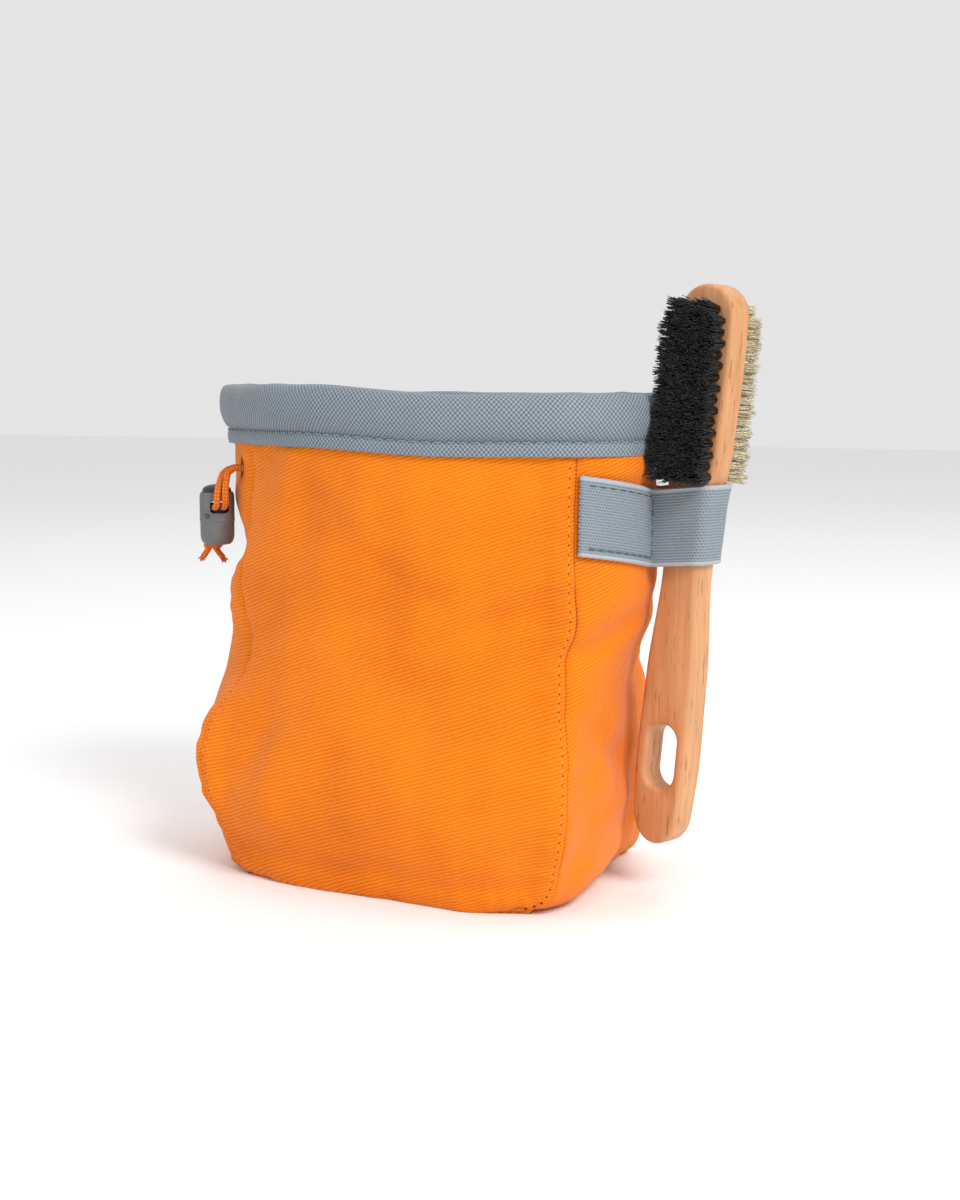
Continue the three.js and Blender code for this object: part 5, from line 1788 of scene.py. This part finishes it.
@dataclass
class Drawcord:
    """The pair of braided strands, the knot below the lock and its frayed tails."""

    finishes: Finishes
    route: CordRoute = field(default_factory=CordRoute)
    knot_radius: float = 3.7
    tail: float = 6.5

    def knot(self) -> bpy.types.Object:
        """Builds the lumpy knot: a tight trefoil of the cord, with two tails that fray at their ends."""
        end = np.array(self.route.points[-1][:3]) / MM
        top = end[2] - self.route.gap / MM
        middle = np.array([end[0], end[1], top - 0.95 * self.knot_radius])
        turn = np.linspace(0, 2 * np.pi, 120, endpoint=False)
        size = (self.knot_radius - 1.2) / 3.0
        loop = np.stack(
            [
                1.08 * (np.sin(turn) + 2 * np.sin(2 * turn)),
                np.cos(turn) - 2 * np.cos(2 * turn),
                -1.25 * np.sin(3 * turn),
            ],
            axis=1,
        )
        parts = [cord_tube("knot_loop", loop * size + middle, 2.5, self.finishes.cord, closed=True)]
        chance = np.random.default_rng(SEED)
        for side in (-1, 1):
            way = unit(np.array([-side * 0.75, 0.10 * side, -1.0]))
            start = middle + np.array([-side * 0.6, 0, -0.8])
            share = np.linspace(0, 1, 22)[:, None]
            sag = np.array([[-side * 0.9, 0.4, -0.3]]) * share**2
            line = start + way * share * (self.tail - 1.0) + sag
            parts.append(cord_tube(f"knot_tail_{side + 1}", line, 2.1, self.finishes.cord))
            for number in range(26):
                angle, far = chance.uniform(0, 2 * np.pi), chance.uniform(0.1, 0.95)
                side_way = unit(np.cross(way, [0.2, 1.0, 0.1]))
                other = np.cross(way, side_way)
                off = (np.cos(angle) * side_way + np.sin(angle) * other) * far
                root = line[-3] + off * 0.8
                hair = np.linspace(0, 1, 6)[:, None]
                strand = root + way * hair * chance.uniform(1.4, 2.3) + off * hair**2 * 0.9
                parts.append(cord_tube(f"fray_{side + 1}_{number}", strand, 0.26, self.finishes.cord))
        pick(*parts)
        bpy.ops.object.join()
        knot = bpy.context.object
        knot.name = "frayed_knot"
        return knot

    def build(self, with_pieces: list[bpy.types.Object]) -> None:
        """Builds and dresses the cord.

        Args:
            with_pieces: the lock's pieces, which sit on the cord; not used.
        """
        knot = dress(self.knot(), "cord_knot")
        for name, which in (("drawcord_a", -1), ("drawcord_b", 1)):
            line = self.route.strand(which)
            strand = cord_tube(name + "_braid", line / MM, self.route.diameter / MM, self.finishes.cord)
            dress(strand, name)
            LOG.info("piece %s: %.1f mm long", strand.name, arc_lengths(line)[-1] / MM)


@dataclass
class CordLock:
    """The two-part lock: a grey barrel and the dark button that is pressed into it."""

    finishes: Finishes
    route: CordRoute = field(default_factory=CordRoute)
    radius: float = 6.0
    height: float = 18.3
    bottom: float = 109.5
    floor: float = 2.5
    recess_radius: float = 5.3
    recess_depth: float = 2.4
    bore: float = 4.2
    fit: float = 0.3
    proud: float = 2.7
    travel: float = 1.8
    hole_width: float = 6.6
    hole_height: float = 4.2
    dimple: float = 1.3
    dimple_below: float = 3.15
    segments: int = 72

    def turned(self, name: str, profile: list, finish: bpy.types.Material) -> bpy.types.Object:
        """Turns a solid as by hand: a disc that is extruded and resized step by step.

        Args:
            name: the piece's name.
            profile: radius and height of each ring, from the bottom.
            finish: its material.

        Returns:
            The piece, on the lock's axis.
        """
        spot = Vector((*self.route.lock[:2], self.bottom * MM))
        bpy.ops.object.select_all(action="DESELECT")
        radius, level = profile[0]
        start = spot + Vector((0, 0, level * MM))
        bpy.ops.mesh.primitive_circle_add(
            vertices=self.segments, radius=radius * MM, fill_type="NGON", location=start
        )
        piece = bpy.context.object
        bpy.ops.object.mode_set(mode="EDIT")
        bpy.ops.mesh.select_all(action="SELECT")
        for next_radius, next_level in profile[1:]:
            rise = (0, 0, (next_level - level) * MM)
            bpy.ops.mesh.extrude_region_move(TRANSFORM_OT_translate={"value": rise})
            share = next_radius / radius
            bpy.ops.transform.resize(value=(share, share, 1))
            radius, level = next_radius, next_level
        bpy.ops.mesh.select_all(action="SELECT")
        bpy.ops.mesh.normals_make_consistent(inside=False)
        bpy.ops.object.mode_set(mode="OBJECT")
        piece.data.transform(piece.matrix_world)
        piece.matrix_world = Matrix.Identity(4)
        piece.name = name
        piece.data.materials.append(finish)
        return piece

    def bar(self, width: float, low: float, high: float) -> bpy.types.Object:
        """Makes a rounded bar along the cord's way through the lock, to cut with."""
        spot = Vector((*self.route.lock[:2], (self.bottom + (low + high) / 2) * MM))
        bpy.ops.mesh.primitive_cube_add(size=1.0)
        bar = bpy.context.object
        size = Matrix.Diagonal((5 * self.radius * MM, width * MM, (high - low) * MM, 1.0))
        turn = Matrix.Rotation(math.radians(self.route.lock[3] + 90), 4, "Z")
        bar.data.transform(Matrix.Translation(spot) @ turn @ size)
        round_edges(bar, 0.28 * (high - low), 3, 30)
        return bar

    def barrel(self) -> bpy.types.Object:
        """Builds the barrel with its bore, the cord's hole and the small dimple."""
        r, h = self.radius, self.height
        profile = [
            (0.55 * r, 0.0),
            (0.74 * r, 0.012 * h),
            (0.87 * r, 0.05 * h),
            (0.95 * r, 0.11 * h),
            (0.98 * r, 0.19 * h),
            (0.985 * r, 0.43 * h),
            (0.99 * r, 0.450 * h),
            (1.02 * r, 0.462 * h),
            (1.02 * r, 0.478 * h),
            (1.0 * r, 0.492 * h),
            (1.0 * r, 0.90 * h),
            (0.985 * r, 0.95 * h),
            (0.945 * r, 0.985 * h),
            (0.915 * r, h),
            (self.recess_radius + 0.08, 0.998 * h),
            (self.recess_radius, 0.99 * h),
            (self.recess_radius, h - self.recess_depth),
            (self.bore, h - self.recess_depth),
            (self.bore, self.floor),
        ]
        piece = self.turned("lock_barrel", profile, self.finishes.grey)
        middle = self.route.lock[2] / MM - self.bottom
        reach = self.hole_height / 2
        cut_away(piece, self.bar(self.hole_width, middle - reach, middle + reach))
        bpy.ops.mesh.primitive_uv_sphere_add(segments=24, ring_count=14, radius=1.0)
        plug = bpy.context.object
        x, y = self.route.lock[:2]
        where = Vector((x, y - r * MM, (self.bottom + middle - self.dimple_below) * MM))
        size = Matrix.Diagonal((self.dimple * MM, 1.0 * MM, 0.72 * self.dimple * MM, 1.0))
        plug.data.transform(Matrix.Translation(where) @ size)
        cut_away(piece, plug)
        return piece

    def button(self) -> bpy.types.Object:
        """Builds the button: a low dome on a slotted stem."""
        stem, cap, h = self.bore - self.fit, self.recess_radius - self.fit, self.height
        under = h - self.recess_depth + self.fit + self.travel
        profile = [
            (stem - 0.3, self.floor + self.fit + self.travel),
            (stem, self.floor + self.fit + self.travel + 0.3),
            (stem, under),
            (cap - 0.15, under),
            (cap, under + 0.15),
        ]
        for part in (0.25, 0.45, 0.62, 0.76, 0.87, 0.94, 0.98, 0.995):
            share = max((part - 0.25) / 0.75, 0.0)
            profile.append((cap * math.sqrt(max(1 - share**2, 0.0)), h + part * self.proud))
        piece = self.turned("lock_push_button", profile, self.finishes.dark)
        middle = self.route.lock[2] / MM - self.bottom
        diameter, gap = self.route.diameter / MM, self.route.gap / MM
        room = diameter / 2 + self.fit
        width = 2 * diameter + 5 * gap
        cut_away(piece, self.bar(width, middle - room, middle + room + self.travel))
        return piece

    def build(self) -> list[bpy.types.Object]:
        """Builds and dresses the lock and returns its two pieces."""
        barrel, button = self.barrel(), self.button()
        dressed = (
            (barrel, "cord_lock_barrel", "lock_grey", Body.BAG),
            (button, "cord_lock_button", "lock_dark", Body.BUTTON),
        )
        for piece, node, slot, body in dressed:
            smooth_by_angle(piece, 38)
            dress(piece, node, body)
        return [barrel, button]


@dataclass(frozen=True)
class Studio:
    """Pale floor, soft lights and the camera at the photograph's angle."""

    camera_at: tuple = (0.2794, -0.5227, 0.1646)
    camera_turn: float = math.radians(27.0)
    camera_down: float = math.radians(7.0)
    lens: float = 52.5
    look_at: tuple = (0.0, 0.0, 0.09)
    floor_size: float = 8.0
    sky: float = 0.78

    def camera(self) -> None:
        """Makes the camera and sets it as the scene's own."""
        data = bpy.data.cameras.new("photo_camera")
        data.lens = self.lens
        data.sensor_width = 36.0
        camera = bpy.data.objects.new("photo_camera", data)
        bpy.context.scene.collection.objects.link(camera)
        turn = Matrix.Rotation(self.camera_turn, 4, "Z")
        down = Matrix.Rotation(math.pi / 2 - self.camera_down, 4, "X")
        camera.matrix_world = Matrix.Translation(self.camera_at) @ turn @ down
        bpy.context.scene.camera = camera
        bpy.context.scene.view_settings.view_transform = "Standard"

    def floor(self) -> None:
        """Makes the plain pale floor."""
        bpy.ops.mesh.primitive_plane_add(size=self.floor_size)
        floor = bpy.context.object
        floor.name = "studio_floor"
        floor.data.materials.append(FloorFinish().make())

    def light(self, name: str, at: tuple, size: float, power: float) -> None:
        """Adds one soft area light that looks at the bag."""
        data = bpy.data.lights.new(name, "AREA")
        data.size = size
        data.energy = power
        light = bpy.data.objects.new(name, data)
        bpy.context.scene.collection.objects.link(light)
        turn = (Vector(self.look_at) - Vector(at)).to_track_quat("-Z", "Y")
        light.matrix_world = Matrix.Translation(at) @ turn.to_matrix().to_4x4()

    def build(self) -> None:
        """Builds the floor, the lights and the pale surroundings."""
        self.floor()
        self.light("key_light", (0.95, -0.55, 0.95), 0.5, 13.0)
        self.light("fill_light", (-0.9, -1.1, 0.5), 1.2, 1.2)
        self.light("top_light", (-0.1, 0.5, 1.4), 1.2, 4.0)
        world = bpy.data.worlds.new("pale_room")
        world.use_nodes = True
        background = world.node_tree.nodes["Background"]
        background.inputs["Color"].default_value = (1, 1, 1, 1)
        background.inputs["Strength"].default_value = self.sky
        bpy.context.scene.world = world


def main() -> None:
    """Loads the solids and builds every piece of the bag in order."""
    logging.basicConfig(level=logging.INFO, format="%(message)s")
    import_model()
    studio = Studio()
    studio.camera()
    form = ClothForm()
    place = BrushPlace(form)
    finishes = Finishes((0.0, -place.lean, -place.turn))
    Drawcord(finishes).build(CordLock(finishes).build())
    ClothBody(form, finishes).build()
    RimRing(form, finishes).build()
    BeltLoop(form, finishes).build()
    BrushStrap(form, place, finishes).build()
    ClimbingBrush(place, finishes).build()
    studio.build()


if __name__ == "__main__":
    main()
